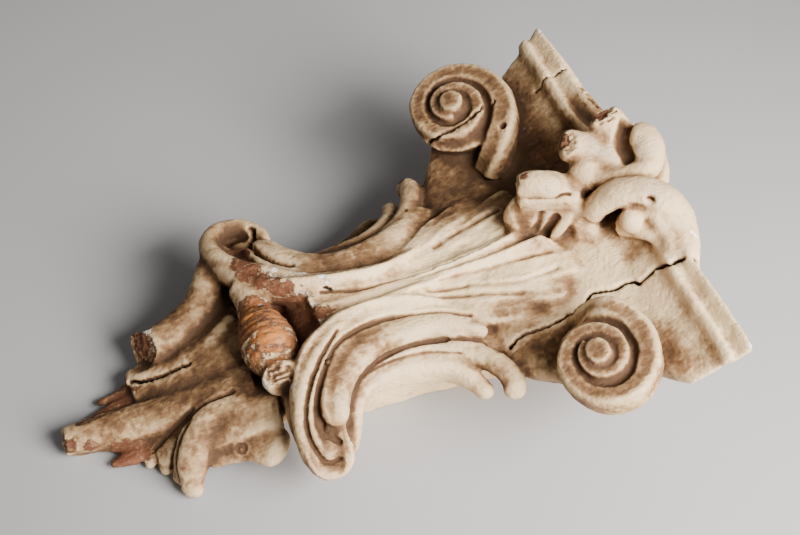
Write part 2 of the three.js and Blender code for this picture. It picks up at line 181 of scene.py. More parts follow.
SCROLL_HOOK = [
    (-90, 90, 68, 5, 5), (-74, 72, 77, 6, 6, 10), (-50, 62, 83, 7, 7, 14), (-18, 63, 85, 7, 7, 16),
    (10, 76, 85, 8, 7, 16), (28, 90, 85, 9, 8, 14), (39, 108, 84, 10, 9), (42, 122, 80, 10, 10),
    (37, 131, 71, 9, 9),
]
NEAR_TONGUE = [
    (30, 62, 90, 12, 10), (8, 50, 91, 15, 12), (-16, 45, 91, 15, 12), (-45, 45, 91, 15, 12),
    (-74, 55, 90, 15, 12, 14, (0, 0.2, 1)), (-94, 71, 87, 14, 12, 16, (0, 0.3, 0.95)),
    (-106, 91, 82, 13, 12, 16, (0, 0.35, 0.93)), (-109, 110, 75, 11, 11, 14, (0, 0.4, 0.9)),
]
NEAR_TIPS = [
    [(10, 45, 95, 6, 6), (28, 51, 95, 6, 6), (40, 57, 93, 5, 5), (46, 61, 90, 3, 4)],
    [(12, 58, 94, 6, 6), (28, 66, 94, 6, 6), (38, 72, 91, 5, 5)],
    [(4, 66, 90, 5, 6), (22, 75, 88, 5, 6), (32, 82, 85, 4, 5)],
]
FAR_TONGUE = [
    (44, 88, 84, 9, 8), (28, 72, 86, 15, 9), (4, 54, 87, 20, 10), (-24, 43, 88, 22, 10),
    (-52, 40, 89, 22, 10), (-76, 50, 88, 22, 10, 16, (0, 0.3, 0.95)),
    (-96, 68, 85, 20, 10, 18, (0, 0.4, 0.9)), (-107, 90, 80, 17, 10, 18, (0, 0.45, 0.9)),
    (-109, 110, 75, 14, 9, 16, (0, 0.5, 0.87)),
]
FAR_RIM = [
    (-99, 108, 74, 5, 5), (-101, 126, 71, 6, 7), (-113, 141, 68, 7, 9), (-133, 142, 69, 8, 11),
    (-148, 126, 74, 9, 12), (-150, 105, 80, 9, 12), (-141, 83, 87, 8, 10), (-120, 57, 96, 7, 8),
    (-92, 34, 101, 6, 6), (-70, 22, 100, 4, 4),
]
FAR_PANEL = [
    (-72, 100, 26, 6, 10, 24), (-48, 106, 30, 6, 14, 28), (-20, 114, 30, 6, 16, 28),
    (2, 122, 34, 7, 20, 32), (20, 122, 42, 8, 24, 40),
]
NEAR_FILLET = [
    (-106, 113, 62, 4, 4), (-112, 123, 60, 4, 5), (-122, 125, 60, 4, 5), (-129, 115, 69, 4, 6),
    (-130, 100, 79, 4, 6), (-122, 82, 87, 4, 6), (-106, 62, 94, 5, 6), (-81, 40, 100, 5, 5),
    (-45, 29, 101, 5, 5), (4, 27, 97, 4, 4),
]
SCROLL_ARM = [
    (-110, 40, 56, 26, 20), (-120, 80, 60, 23, 18), (-121, 108, 52, 19, 20), (-118, 122, 44, 17, 16),
]

# The broad leaf on the bell, one half, and its broken curl
LEAF_BLADE = [
    (-92, 8, 94, 9, 7, 12), (-40, 13, 95, 13, 7, 12, (0, 0.05, 1)), (20, 22, 95, 22, 8, 16, (0, 0.2, 1)),
    (75, 34, 97, 33, 9, 18, (-0.05, 0.3, 1)), (112, 37, 103, 36, 8, 18, (-0.12, 0.3, 1)),
    (132, 34, 108, 32, 7, 16, (-0.15, 0.3, 1)),
]
LEAF_LOBES = [
    [(60, 18, 97, 8, 7, 12), (100, 32, 102, 14, 8, 14, (0, 0.2, 1)), (138, 39, 108, 13, 6, 12)],
    [(40, 28, 95, 8, 7, 12), (84, 46, 98, 15, 8, 14, (0, 0.3, 1)), (120, 59, 102, 13, 6, 12)],
    [(8, 34, 94, 7, 6, 12), (48, 53, 94, 14, 8, 14, (0, 0.3, 1)), (90, 67, 95, 13, 6, 12)],
]
CURL_BLOCK = {"at": (129, 12, 125), "size": (54, 32, 66), "turn": -21, "edge": 5}
CURL_WEB = [
    (164, 0, 96, 32, 14, 14, (-1, 0, 0.2)), (154, 4, 128, 26, 12, 12, (-1, 0, 0.1)),
    (138, 10, 152, 18, 10, 10, (-0.8, 0, -0.4)), (122, 12, 164, 12, 8, 8, (-0.2, 0, -1)),
]
CURL_CAP = [(99, 13, 164, 10, 9), (108, 8, 169, 12, 11), (119, 2, 170, 12, 11), (131, -5, 165, 9, 8)]
CURL_FOLDS = [
    [(103, 17, 142, 6, 4, 4, (-0.9, -0.3, 0.3)), (96, 15, 130, 8, 4, 4, (-0.9, -0.3, 0.2)),
     (98, 12, 116, 9, 4, 4, (-0.9, -0.3, 0.2)), (108, 6, 104, 7, 4, 4, (-0.7, -0.5, 0.4))],
    [(142, -8, 140, 6, 4), (133, -7, 126, 7, 6), (126, -5, 110, 6, 5)],
    [(149, -11, 144, 6, 5), (149, -13, 124, 7, 6), (148, -13, 104, 7, 6)],
]

# The shell-like ornament over the shelf's edge
SHELL_STRANDS = [
    [(214, 0, 138, 26, 14), (206, 14, 158, 28, 15), (187, 24, 163, 24, 15), (168, 33, 168, 16, 14),
     (150, 41, 173, 15, 15)],
    [(208, 14, 156, 20, 14), (201, 33, 173, 17, 14), (193, 52, 186, 16, 15)],
    [(198, 4, 146, 22, 16), (180, 12, 148, 20, 15), (166, 15, 150, 15, 15)],
    [(165, 8, 160, 9, 8), (178, -3, 161, 9, 8), (195, -10, 166, 10, 9), (210, -8, 171, 13, 11),
     (216, 3, 177, 15, 12), (216, 16, 181, 14, 11), (210, 28, 181, 9, 8)],
    [(212, -8, 144, 22, 14), (214, 6, 161, 22, 12), (211, 20, 172, 18, 10)],
    [(157, -15, 138, 11, 11), (163, -19, 152, 13, 11), (177, -25, 165, 14, 11), (195, -36, 171, 14, 10),
     (211, -54, 166, 14, 10), (214, -76, 153, 12, 9), (206, -103, 143, 9, 7), (195, -134, 138, 6, 4)],
    [(178, -32, 132, 10, 10), (190, -46, 141, 14, 10), (201, -64, 143, 14, 9), (202, -96, 134, 9, 7)],
    [(190, -36, 154, 12, 9), (202, -50, 158, 13, 9), (206, -72, 150, 12, 8), (199, -104, 139, 8, 6)],
]
SHELL_BALLS = [(166, 14, 156, 17), (180, -46, 151, 11)]

# The leaf that ends the bracket: its lobes on the side of -y are whole, drawn on +y and mirrored
MIDRIB = [
    (-319, 4, 14, 12, 12), (-298, 2, 16, 15, 14), (-270, -2, 20, 17, 13), (-240, -7, 26, 19, 12),
    (-207, -12, 34, 21, 12), (-182, -16, 42, 23, 12), (-152, -22, 50, 26, 12),
]
LEAF_SHEETS = [
    [(-140, -48, 52, 30, 10), (-176, -40, 44, 32, 10), (-206, -36, 34, 30, 9), (-228, -36, 24, 24, 7),
     (-246, -34, 13, 16, 5)],
    [(-140, 34, 58, 30, 10), (-170, 26, 50, 30, 10), (-200, 22, 40, 28, 9), (-226, 22, 30, 24, 7),
     (-250, 22, 20, 16, 5)],
]
WHOLE_LOBES = [
    [(-146, 52, 52, 18, 10), (-170, 40, 48, 18, 10), (-190, 39, 43, 18, 11, 18, (-0.2, 0.3, 1)),
     (-208, 46, 38, 17, 12, 18, (-0.4, 0.4, 0.9)), (-222, 60, 29, 16, 12, 18, (-0.6, 0.5, 0.7)),
     (-229, 74, 15, 12, 10, 12, (-0.6, 0.5, 0.6)), (-225, 85, 4, 6, 6)],
    [(-208, 58, 28, 17, 9, 12, (-0.2, 0.5, 0.9)), (-190, 61, 33, 18, 9, 12, (0, 0.5, 0.9)),
     (-170, 69, 36, 18, 9, 12, (0, 0.5, 0.9)), (-150, 92, 40, 17, 9, 12, (0, 0.5, 0.9))],
    [(-202, 36, 38, 8, 6), (-225, 52, 24, 8, 6), (-239, 66, 5, 5, 5)],
    [(-208, 28, 34, 8, 5), (-232, 41, 20, 8, 5), (-248, 52, 5, 5, 4)],
    [(-220, 20, 29, 7, 5), (-242, 31, 17, 7, 4), (-259, 41, 5, 4, 4)],
]
BROKEN_LOBES = [
    [(-138, 120, 60, 14, 14), (-151, 106, 64, 15, 14), (-162, 87, 60, 16, 15), (-177, 71, 53, 17, 15),
     (-199, 61, 46, 17, 15), (-222, 58, 40, 16, 15), (-242, 62, 35, 16, 15)],
    [(-150, 44, 60, 9, 8), (-165, 36, 56, 10, 9), (-185, 28, 47, 11, 9), (-212, 32, 36, 12, 8),
     (-236, 40, 27, 12, 7), (-250, 48, 20, 9, 5)],
    [(-140, 84, 48, 22, 12), (-160, 66, 48, 22, 10), (-184, 50, 40, 21, 9), (-210, 47, 31, 19, 8),
     (-236, 52, 22, 15, 7)],
]
SPLINTERS = [
    [(-228, 34, 16, 5, 3), (-244, 41, 14, 5, 3), (-258, 47, 11, 2, 2)],
    [(-232, 32, 15, 9, 4), (-256, 37, 11, 8, 4), (-281, 40, 8, 3, 2)],
    [(-238, 22, 16, 10, 5), (-262, 26, 12, 8, 4), (-291, 24, 9, 3, 3)],
    [(-248, -22, 13, 9, 4), (-268, -28, 9, 9, 4), (-287, -28, 6, 3, 2)],
]

# The bound roll across the hollow: distance along it and radius
ROLL_CENTRE = (-136, 0, 82)
ROLL_PROFILE = [
    (-57, 15), (-47, 18), (-40, 14), (-32, 19), (-16, 22), (0, 21), (20, 16), (40, 14), (57, 15),
]
ROLL_SAMPLES = 120
ROLL_BINDING = (-30, 20)
ROLL_BINDING_EDGE = 3
ROLL_PITCH = 8
ROLL_SWELL = 2.6

# Cracks along glued joints: places, width and depth
CRACKS = [
    ([(38, -94, 91), (60, -89, 95), (84, -91, 101), (98, -89, 103), (115, -82, 101)], 1.8, 6),
    ([(115, -82, 101), (125, -79, 104), (133, -75, 108), (148, -82, 113), (163, -84, 119), (169, -91, 123),
      (183, -89, 133), (187, -99, 146), (200, -99, 145), (213, -105, 147)], 2.4, 9),
    ([(64, 135, 118), (79, 127, 134), (96, 127, 140), (117, 133, 146), (131, 137, 148)], 1.8, 6),
    ([(176, 150, 135), (188, 150, 147), (206, 146, 155)], 1.3, 3),
    ([(-250, 38, 26), (-233, 27, 34), (-216, 23, 40), (-198, 20, 47)], 1.8, 9),
    ([(-70, 14, 100), (-76, 18, 102)], 1.2, 3),
]
# Carved lines: places, width and depth
GROOVES = [
    ([(204, 34, 180), (199, 24, 172), (197, 14, 168), (198, 6, 166)], 9, 6),
    ([(100, 18, 157), (112, 8, 157), (124, 2, 157), (140, -4, 157)], 2.5, 5),
    ([(117, 0, 138), (116, 0, 128), (113, 1, 118)], 5, 3),
    ([(129, -5, 134), (125, -4, 124), (120, -3, 113)], 6, 4),
    ([(-112, 127, 80), (-117, 112, 80), (-115, 89, 86), (-106, 69, 92), (-94, 56, 96)], 4.5, 15),
    ([(30, -54, 98), (3, -42, 98), (-24, -36, 98), (-52, -34, 99), (-83, -43, 100), (-103, -60, 95),
      (-116, -81, 88), (-121, -100, 80), (-120, -112, 74), (-111, -119, 68)], 3.4, 3),
    ([(-98, -113, 70), (-92, -92, 79), (-78, -75, 85), (-55, -64, 88), (-23, -62, 91), (8, -69, 93),
      (34, -80, 88)], 3.4, 4.5),
    ([(-88, -86, 79), (-72, -73, 84), (-48, -68, 86), (-18, -70, 87), (10, -82, 88)], 2, 2),
    ([(-84, -35, 104), (-110, -60, 97), (-126, -83, 89), (-134, -102, 79), (-133, -118, 67),
      (-126, -129, 60), (-114, -127, 58)], 2.4, 3.5),
    ([(-136, -128, 52), (-126, -139, 48), (-112, -136, 48)], 2.4, 2.5),
    ([(-80, 14, 100), (-49, 8, 97), (-19, 6, 98), (6, 5, 102), (36, 5, 104), (61, 7, 108),
      (90, 9, 110)], 2.4, 2.4),
    ([(-7, -15, 104), (42, -23, 99), (78, -38, 105), (116, -40, 110)], 4, 2),
    ([(5, -22, 99), (42, -35, 100), (80, -50, 102)], 4, 2),
    ([(20, -11, 102), (65, -14, 104), (118, -21, 111)], 4, 1.6),
    ([(30, 30, 99), (62, 38, 102), (96, 44, 106)], 4, 2),
    ([(-210, -24, 42), (-232, -30, 30), (-250, -34, 16)], 3.4, 2),
    ([(-204, -34, 40), (-226, -46, 28), (-240, -54, 12)], 3.4, 2.4),
    ([(-176, -28, 54), (-204, -30, 46), (-222, -44, 40), (-234, -62, 26), (-232, -76, 10)], 4, 3),
]
# Round pits: place, radius and depth
PITS = [
    ((126, 106, 146), 4, 4), ((192, -50, 175), 5, 9), ((-183, -74, 38), 9, -1.5), ((-183, -74, 38), 6, 3),
    ((-183, -74, 37), 3, -2.5),
]
# Broken faces: place, outward direction, radius and how rough they are
BREAKS = [
    ((150, 40, 176), (-0.55, -0.2, 0.8), 19, 2.6), ((192, 50, 190), (-0.3, 0, 0.95), 19, 2.8),
    ((-230, 62, 42), (-0.85, -0.3, 0.35), 24, 1.2), ((-319, 0, 16), (-1, 0, 0.2), 18, 1.6),
    ((-308, -10, 22), (-0.4, -0.6, 0.7), 14, 1.4), ((-292, 10, 27), (-0.1, 0.5, 0.85), 15, 1.2),
    ((98, 13, 168), (-0.9, 0.3, 0.2), 12, 1.2), ((214, 88, 152), (0.5, 0.1, 0.85), 22, 2.4),
    ((212, 112, 152), (0.5, 0.1, 0.85), 20, 2.4), ((214, 66, 152), (0.5, 0.1, 0.85), 20, 2.4),
    ((-26, -108, 40), (0, -0.9, 0.4), 12, 2.4), ((-140, -52, 91), (-0.4, -0.5, 0.75), 14, 2.4),
    ((44, -92, 92), (0.5, -0.3, 0.8), 9, 1.6),
]
BREAK_RIM = 0.25
BREAK_GRAIN = {"stretch": (0.3, 1, 1), "scale": 3}
# Depths at which a groove or a pit is painted fully dark, as shade inside it
LINE_DARK_DEPTH = 4.5
PIT_DARK_DEPTH = 3
CRACK_WANDER = 0.5
# Unevenness of the carved surface: height, scale and octaves
UNEVEN = [(0.9, 22, 4), (0.32, 4, 3)]
CUP_PASSES = 12
# Passes that soften how enclosed each vertex is, which the paint turns into painted shade in the hollows
HOLLOW_SHADE_PASSES = 2
# Where layers are lost or changed, and where shade or light is painted on: place and radius
BARE = [
    (150, 40, 176, 8), (191, 48, 190, 9), (-236, 60, 44, 14), (-128, 108, 73, 9), (-125, 94, 85, 9),
    (-133, 74, 97, 11), (-131, 58, 101, 11), (-125, 44, 104, 11), (-114, 32, 102, 9), (-105, 26, 103, 7),
    (-101, 24, 74, 28), (-101, -10, 70, 30), (-103, -34, 78, 16), (-136, 0, 84, 30), (-136, 16, 84, 22),
    (-136, -20, 88, 24), (-261, 34, 12, 17), (-244, 28, 16, 12), (-280, 30, 10, 14), (-274, -28, 10, 16),
    (-258, -28, 12, 10), (-316, -8, 20, 7), (-300, -14, 20, 7), (104, 10, 176, 5), (118, -101, 141, 6),
    (38, 130, 84, 5),
]
GESSO = [
    (-94, 18, 97, 4), (-91, 4, 97, 5), (-93, -12, 99, 5), (-97, -24, 105, 5), (-99, -32, 110, 4),
    (-110, 47, 104, 5), (-98, 38, 107, 5), (-88, 32, 108, 5), (-76, 25, 110, 5), (-73, 17, 108, 4),
    (-144, 26, 94, 4), (-135, 24, 97, 4), (-130, 25, 94, 4), (-137, -60, 100, 7), (-135, -68, 96, 6),
    (-152, -51, 82, 6), (-224, 64, 54, 5), (-222, 56, 46, 5), (-226, 76, 54, 5), (152, 26, 182, 5),
    (150, 48, 180, 6), (192, 38, 198, 5), (-22, -50, 7, 8), (200, -40, 184, 6), (212, -66, 164, 6),
    (112, -14, 176, 7), (206, 2, 194, 5), (206, 206, 158, 7), (206, -208, 158, 8), (-100, -120, 62, 5),
    (184, -30, 186, 5), (217, -84, 156, 6),
]
GREY = [
    (-98, -91, 82, 26), (-69, -74, 84, 24), (-36, -61, 86, 26), (0, -64, 86, 24), (24, -60, 86, 16),
    (112, -18, 168, 24), (122, -2, 138, 26), (176, 18, 178, 22), (206, -3, 186, 18), (200, -48, 180, 22),
    (-147, -52, 92, 14), (-124, -124, 62, 24),
]
# Spots of painted shade mixed with browner paint
SHADE_AND_BROWN = [
    (-215, 0, 40, 60), (-195, 70, 50, 50), (-205, -70, 35, 44), (-285, 0, 20, 44), (100, 145, 120, 76),
    (100, -160, 126, 64), (138, 60, 108, 34), (-130, 120, 72, 44), (-128, -112, 66, 36), (60, 88, 84, 46),
    (178, -62, 120, 12), (90, -118, 90, 34), (112, 30, 112, 22), (-30, 114, 34, 50), (-44, 54, 96, 40),
    (20, 124, 46, 34), (-150, 60, 60, 30), (-160, -30, 56, 26), (40, 130, 74, 16), (98, 12, 128, 20),
    (116, 0, 112, 14), (206, 90, 146, 26), (-60, -52, 92, 26), (-95, -70, 88, 28), (-136, -48, 84, 16),
    (70, -100, 96, 20), (60, -60, 98, 13), (86, -63, 100, 14), (112, -58, 105, 14), (-150, 110, 66, 34),
    (36, -112, 80, 20),
]
# Spots of painted light mixed with cleaner paint, most on the near side
LIGHT_AND_PALE = [
    (152, -78, 114, 60), (168, -118, 124, 52), (186, -160, 136, 46), (-30, -64, 44, 60), (14, -72, 32, 46),
    (66, -8, 100, 56), (20, 8, 98, 46), (-40, -6, 99, 46), (104, -40, 102, 38), (200, -60, 165, 20),
    (202, 150, 152, 34), (176, 130, 128, 26), (206, -120, 146, 36), (202, -172, 150, 40),
    (202, 186, 150, 32), (162, -52, 116, 44), (-4, -20, 100, 40),
]
WARM = [(-138, 6, 92, 24), (-138, -20, 94, 23)]

SPOTS = {"bare": BARE, "chalky": GESSO, "grey": GREY, "warm": WARM, "brown": SHADE_AND_BROWN, "pale": LIGHT_AND_PALE}
# Everything that is written on the vertices
ON_VERTICES = (*SPOTS, "closed", "cupped", "lined", "cracked")

# Noises of the paint: scale, detail, roughness, stretch along the grain and distortion
NOISES = {
    "cloud": (13, 5, 0.6, 1, 0), "patch": (50, 6, 0.65, 1, 0.4), "fine": (260, 4, 0.6, 1, 0),
    "blotch": (140, 8, 0.75, 1, 0), "grain": (120, 4, 0.6, 0.14, 0.3), "streak": (420, 3, 0.6, 0.12, 0.2),
}
NOISE_MEAN = 0.5
# How much each sign adds to the marks of wear and to the painted shade and light: enclosed, cupped and
# grooved places and the brown spots darken as painted shade, the pale spots lighten as painted light
WEIGHTS = {
    "age_and_shade": {
        "closed": 0.9, "cupped": 0.5, "edge": 0.5, "browned_and_shaded": 0.76, "cleaned_and_lit": -0.75, "grooves_shaded": 0.28,
        "proud": -0.2, "patch": 0.3, "cloud": 0.4, "grain": 0.4, "streak": 0.5, "fine": 0.4,
    },
    "ashen": {"grey": 1, "edge": 0.9},
    "lost": {"bare": 1, "edge": 0.9, "fibre": 0.7},
    "chalk": {"chalky": 0.85, "edge": 1.6, "proud": 0.25},
    "bound": {"grain": 0.5, "streak": 0.3, "patch": 0.2},
    "split": {"cracked": 1, "edge": 0.3},
    "height": {"fine": 0.6, "streak": 0.4, "patch": 1, "edge": 0.8, "ground": -0.6, "relief": 1},
}
# Start of the sum of real ageing and painted shade that lays on the three darker coats
AGE_AND_SHADE_START = -0.62
# Where each mark begins and where it is full
RANGES = {
    "proud": (-0.15, -0.8), "browned_and_shaded": (0.25, 0.85), "cleaned_and_lit": (0.3, 1), "grooves_shaded": (0.1, 0.9),
    "tan": (-0.15, 0.65), "patina_and_shade": (0.3, 1), "grime_and_shade": (0.8, 1.4), "young": (0.7, 0.2), "ashen": (0.5, 0.95),
    "specks": (0.66, 0.76), "rim": (0.42, 0.47), "rimmed": (0.05, 0.5), "chalk": (0.72, 0.8),
    "veins": (0.3, 0.7), "warm": (0.35, 0.9), "bound": (0.44, 0.56), "flecks": (0.02, 0.16),
    "dirt_and_shade": (0.6, 1.8), "bared": (0.49, 0.54), "split": (0.3, 0.5),
}
# How far each coat covers what lies under it
SHARES = {
    "cream": 0.75, "tan": 1, "patina_and_shade": 0.95, "grime_and_shade": 0.94, "ash": 0.4, "specks": 0.55, "stain": 1,
    "flecks": 0.65, "dirt_and_shade": 0.3,
}
WOOD_VEIN_SHADE = 0.5
CRACK_SHADE = 0.15
ROUGHNESS = {"paint": 0.8, "polish": 0.2}
SPECULAR = 0.3
RELIEF = {"paint": 0.4, "wood": 0.8, "strength": 0.85, "distance": 0.0018}

# The stage, in metres and degrees
FLOOR_HALF = 6
FLOOR_ROUGHNESS = 0.7
KEY = {"at": (0.56, -1.06, 0.74), "aim": (0.22, -0.24, 0.06), "size": 1.1, "spread": 80}
CAMERA = {"at": (-0.38264, -0.96601, 1.24843), "turn": -20.933, "rise": 47.5, "lens": 81, "sensor": 36}


class CorbelForm(PropertyGroup):
    """How finely the body is carved"""

    voxel: FloatProperty(
        name="Grain", description="Size of the grid that fuses the forms", default=0.0017, min=0.001,
        unit="LENGTH",
    )
    softening: IntProperty(name="Softening", description="Smoothing passes after fusing", default=2, min=0)
    rounding: IntProperty(name="Rounding", description="Passes that fill the creases", default=7, min=0)
    triangles: IntProperty(
        name="Triangles", description="Most triangles in the finished body", default=188000
    )
    rays: IntProperty(name="Rays", description="Rays per point that look for hollows", default=20, min=1)
    seed: IntProperty(name="Seed", description="Seed of the weathering", default=7)


class CorbelFinish(PropertyGroup):
    """Colours of the layers on the wood"""

    paint: FloatVectorProperty(
        name="Paint", description="Worn cream paint", subtype="COLOR", default=(0.62, 0.43, 0.235)
    )
    # Laid on the pale spots, so cleaner paint and painted light
    cream: FloatVectorProperty(
        name="Cream", description="Paint where it is least worn", subtype="COLOR", default=(0.90, 0.65, 0.36)
    )
    tan: FloatVectorProperty(
        name="Tan", description="Paint yellowed by age", subtype="COLOR", default=(0.40, 0.245, 0.115)
    )
    # Real patina, and also painted shade where the hollows and the brown spots darken the paint
    patina_and_shade: FloatVectorProperty(
        name="Patina", description="Brown of old varnish and handling", subtype="COLOR",
        default=(0.18, 0.088, 0.035),
    )
    # Soiling, and painted shade in the most enclosed hollows
    grime_and_shade: FloatVectorProperty(
        name="Grime", description="Dirt in the hollows", subtype="COLOR", default=(0.065, 0.03, 0.012)
    )
    gesso: FloatVectorProperty(
        name="Gesso", description="White ground under the paint", subtype="COLOR", default=(0.82, 0.71, 0.56)
    )
    wood: FloatVectorProperty(
        name="Wood", description="Bare wood at the breaks", subtype="COLOR", default=(0.175, 0.062, 0.026)
    )
    stain: FloatVectorProperty(
        name="Stain", description="Orange wood where it is newly bare", subtype="COLOR",
        default=(0.50, 0.17, 0.028),
    )
    ash: FloatVectorProperty(
        name="Ash", description="Grey of worn gesso", subtype="COLOR", default=(0.40, 0.325, 0.245)
    )


class CorbelStage(PropertyGroup):
    """The floor and the light"""

    floor: FloatVectorProperty(
        name="Floor", description="Colour of the floor", subtype="COLOR", default=(0.355, 0.343, 0.337)
    )
    key: FloatProperty(
        name="Key", description="Power of the soft main light", default=29, min=0, unit="POWER"
    )
    fill: FloatProperty(name="Fill", description="Strength of the light from all round", default=0.2, min=0)


def through(rows, t):
    """Points at t, from 0 to 1, of a smooth curve through the rows"""
    rows = np.asarray(rows, float)
    padded = np.vstack([2 * rows[0] - rows[1], rows, 2 * rows[-1] - rows[-2]])
    place = np.clip(t, 0, 1) * (len(rows) - 1)
    low = np.minimum(place.astype(int), len(rows) - 2)
    f = (place - low)[:, None]
    a, b, c, d = (padded[low + k] for k in range(4))
    return 0.5 * (2 * b + (c - a) * f + (2 * a - 5 * b + 4 * c - d) * f**2 + (3 * b - a - 3 * c + d) * f**3)


def unit(vectors):
    return vectors / np.linalg.norm(vectors, axis=-1, keepdims=True)


def swept(bm, place, steps, sides):
    """Bend a grid into a tube, place(t, turn) giving its points, and close its ends"""
    grid = bmesh.ops.create_grid(bm, x_segments=steps, y_segments=sides, size=0.5)["verts"]
    flat = np.array([vert.co for vert in grid])
    for vert, point in zip(grid, place(flat[:, 0] + 0.5, flat[:, 1] + 0.5) * MM):
        vert.co = point
    bmesh.ops.remove_doubles(bm, verts=grid, dist=MERGE)
    bmesh.ops.holes_fill(bm, edges=[edge for edge in bm.edges if edge.is_boundary], sides=0)


def stop(x, y, z, half, rise, sink=None, face=(0, 0, 1)):
    """One stop of a strand: its place, half its width, its height above and below, and the way it faces"""
    return (x, y, z, half, rise, rise if sink is None else sink, *face)


def swell(x, height, centre, width):
    return height * np.exp(-(((x - centre) / width) ** 2))


def rounded(x, z, rise, sink):
    return np.where(z > 0, rise * z, sink * z)


def edged(x, z, top, power, rise, sink):
    """A section with a given top, falling at its edges: the higher the power, the sharper they are"""
    return np.where(z > 0, rise * top * np.sqrt(np.clip(1 - x**power, 0, 1)), sink * z)


def channelled(x, z, rise, sink):
    """A broad channel between raised edges, with a fillet beside the outer one"""
    top = sum((swell(x, *row) for row in CHANNEL), CHANNEL_LEVEL)
    return edged(x, z, top, SHARP_EDGE, rise, sink)


def bladed(x, z, rise, sink):
    """A hollow beside a sharp crest, then fine ribs towards the outer edge"""
    ribs = BLADE_RIBS["height"] * np.cos(BLADE_RIBS["pace"] * x + BLADE_RIBS["gain"] * x**2)
    top = sum((swell(x, *row) for row in BLADE), BLADE_LEVEL) + ribs * (1 - swell(x, *BLADE_RIBS["smooth"]))
    return edged(x, z, top, SHARP_EDGE, rise, sink)


def ribbed(x, z, rise, sink):
    top = LOBE_LEVEL + LOBE_RIBS["height"] * np.cos(LOBE_RIBS["pace"] * x)
    return edged(x, z, top, SHARP_EDGE, rise, sink)


def grooved(x, z, rise, sink):
    """A flat-topped band with a shallow hollow along it"""
    return edged(x, z, 1 + swell(x, *BAND_HOLLOW), SOFT_EDGE, rise, sink)


def tongued(x, z, rise, sink):
    """A rounded tongue with a faint hollow along one side"""
    top = np.sqrt(np.clip(1 - x**TONGUE_EDGE, 0, 1)) + swell(x, *TONGUE_HOLLOW)
    return np.where(z > 0, rise * top, sink * z)


def strand(bm, stops, steps, sides, section=rounded, hand=1, blunt=(0, 0)):
    """Sweep a strand along its stops; blunt gives the share of its length that rounds off at each end"""
    stops = [stop(*row) for row in stops]

    def place(t, turn):
        here = through(stops, t)
        ahead = through(stops, t + NUDGE)[:, :3] - through(stops, t - NUDGE)[:, :3]
        along = unit(ahead)
        face = here[:, 6:9]
        face = unit(face - along * np.sum(face * along, axis=1, keepdims=True))
        width = np.cross(along, face)
        size = here[:, 3:6].copy()
        for share, from_end in zip(blunt, (t, 1 - t)):
            if share:
                left = 1 - np.clip(from_end / share, 0, 1)
                size *= np.sqrt(np.clip(1 - left**2, THINNEST_END, 1))[:, None]
        x = np.sin(2 * math.pi * turn)
        z = np.cos(2 * math.pi * turn)
        out = section(x, z, size[:, 1], size[:, 2])
        points = here[:, :3] + width * (size[:, 0] * x)[:, None] + face * out[:, None]
        return points * (1, hand, 1)

    swept(bm, place, steps, sides)


def lofted(bm, outline, steps, sides):
    """Loft a block along x. outline(t, side, u) gives points, u running from 0 at the wall to 1 in front"""

    def place(t, turn):
        side = np.sign(turn - 0.5)
        around = np.abs(2 * turn - 1)
        points = outline(t, side, 1 - np.minimum(1, around / FRONT_SHARE))
        points[:, 1] *= np.clip((1 - around) / (1 - FRONT_SHARE), 0, 1)
        return points

    swept(bm, place, steps, sides)


def flare(neck, top, power, f):
    return neck + (top - neck) * np.maximum(0, f) ** power


def bell_shape(x):
    f = (x - BELL_FLARE_FROM) / (BELL_TOP - BELL_FLARE_FROM)
    return {name: flare(*row, f) for name, row in BELL.items()}


def horned(shape, side, u):
    """Half an outline from the wall's edge to the front's middle, drawn out towards a horn"""
    wall, horn, front = (1 - u) ** 2, 2 * shape["sharpness"] * u * (1 - u), u**2
    total = wall + horn + front
    y = side * (wall * shape["back"] + horn * shape["horn"]) / total
    z = (horn * shape["horn_depth"] + front * shape["front"]) / total
    return y, z


def bell_outline(t, side, u):
    x = NECK_X + (BELL_TOP - NECK_X) * t
    y, z = horned(bell_shape(x), side, u)
    return np.stack([x, y, z], axis=1)


def shelf_outline(t, side, u):
    stages = np.linspace(0, 1, len(MOULDING))
    x = np.interp(t, stages, [row[0] for row in MOULDING])
    reach = np.interp(t, stages, [row[1] for row in MOULDING])
    shape = bell_shape(np.minimum(x, BELL_TOP))
    for name, share in SHELF_REACH.items():
        shape[name] = shape[name] + share * reach
    y, z = horned(shape, side, u)
    share = (x - MOULDING[0][0]) / (SHELF_X - MOULDING[0][0]) * (z / shape["front"]) ** 2
    swell = SHELF_SWELL["height"] * np.exp(-((y / SHELF_SWELL["half_width"]) ** 4))
    return np.stack([x + share * swell, y, z], axis=1)


def lower_outline(t, side, u):
    x, near, far, ridge, edge = through(LOWER_LEAF, t).T
    half = np.where(side < 0, near, far)
    height = edge + (ridge - edge) * u**LOWER_LEAF_ROUNDING
    y = side * half * (1 - u) ** LOWER_LEAF_SPREAD
    return np.stack([x, y, np.where(u < MERGE, 0, height)], axis=1)


def clay(name, bm):
    """Keep a rough form as an object until the body is fused"""
    bmesh.ops.recalc_face_normals(bm, faces=bm.faces)
    mesh = bpy.data.meshes.new(CLAY + name)
    bm.to_mesh(mesh)
    bm.free()
    obj = bpy.data.objects.new(CLAY + name, mesh)
    bpy.context.scene.collection.objects.link(obj)
    return obj


def discard(obj):
    mesh = obj.data
    bpy.data.objects.remove(obj)
    bpy.data.meshes.remove(mesh)


def settled(obj):
    """Replace an object's mesh by what its modifiers make of it"""
    graph = bpy.context.evaluated_depsgraph_get()
    rough = obj.data
    mesh = bpy.data.meshes.new_from_object(obj.evaluated_get(graph))
    obj.modifiers.clear()
    obj.data = mesh
    bpy.data.meshes.remove(rough)
    return mesh


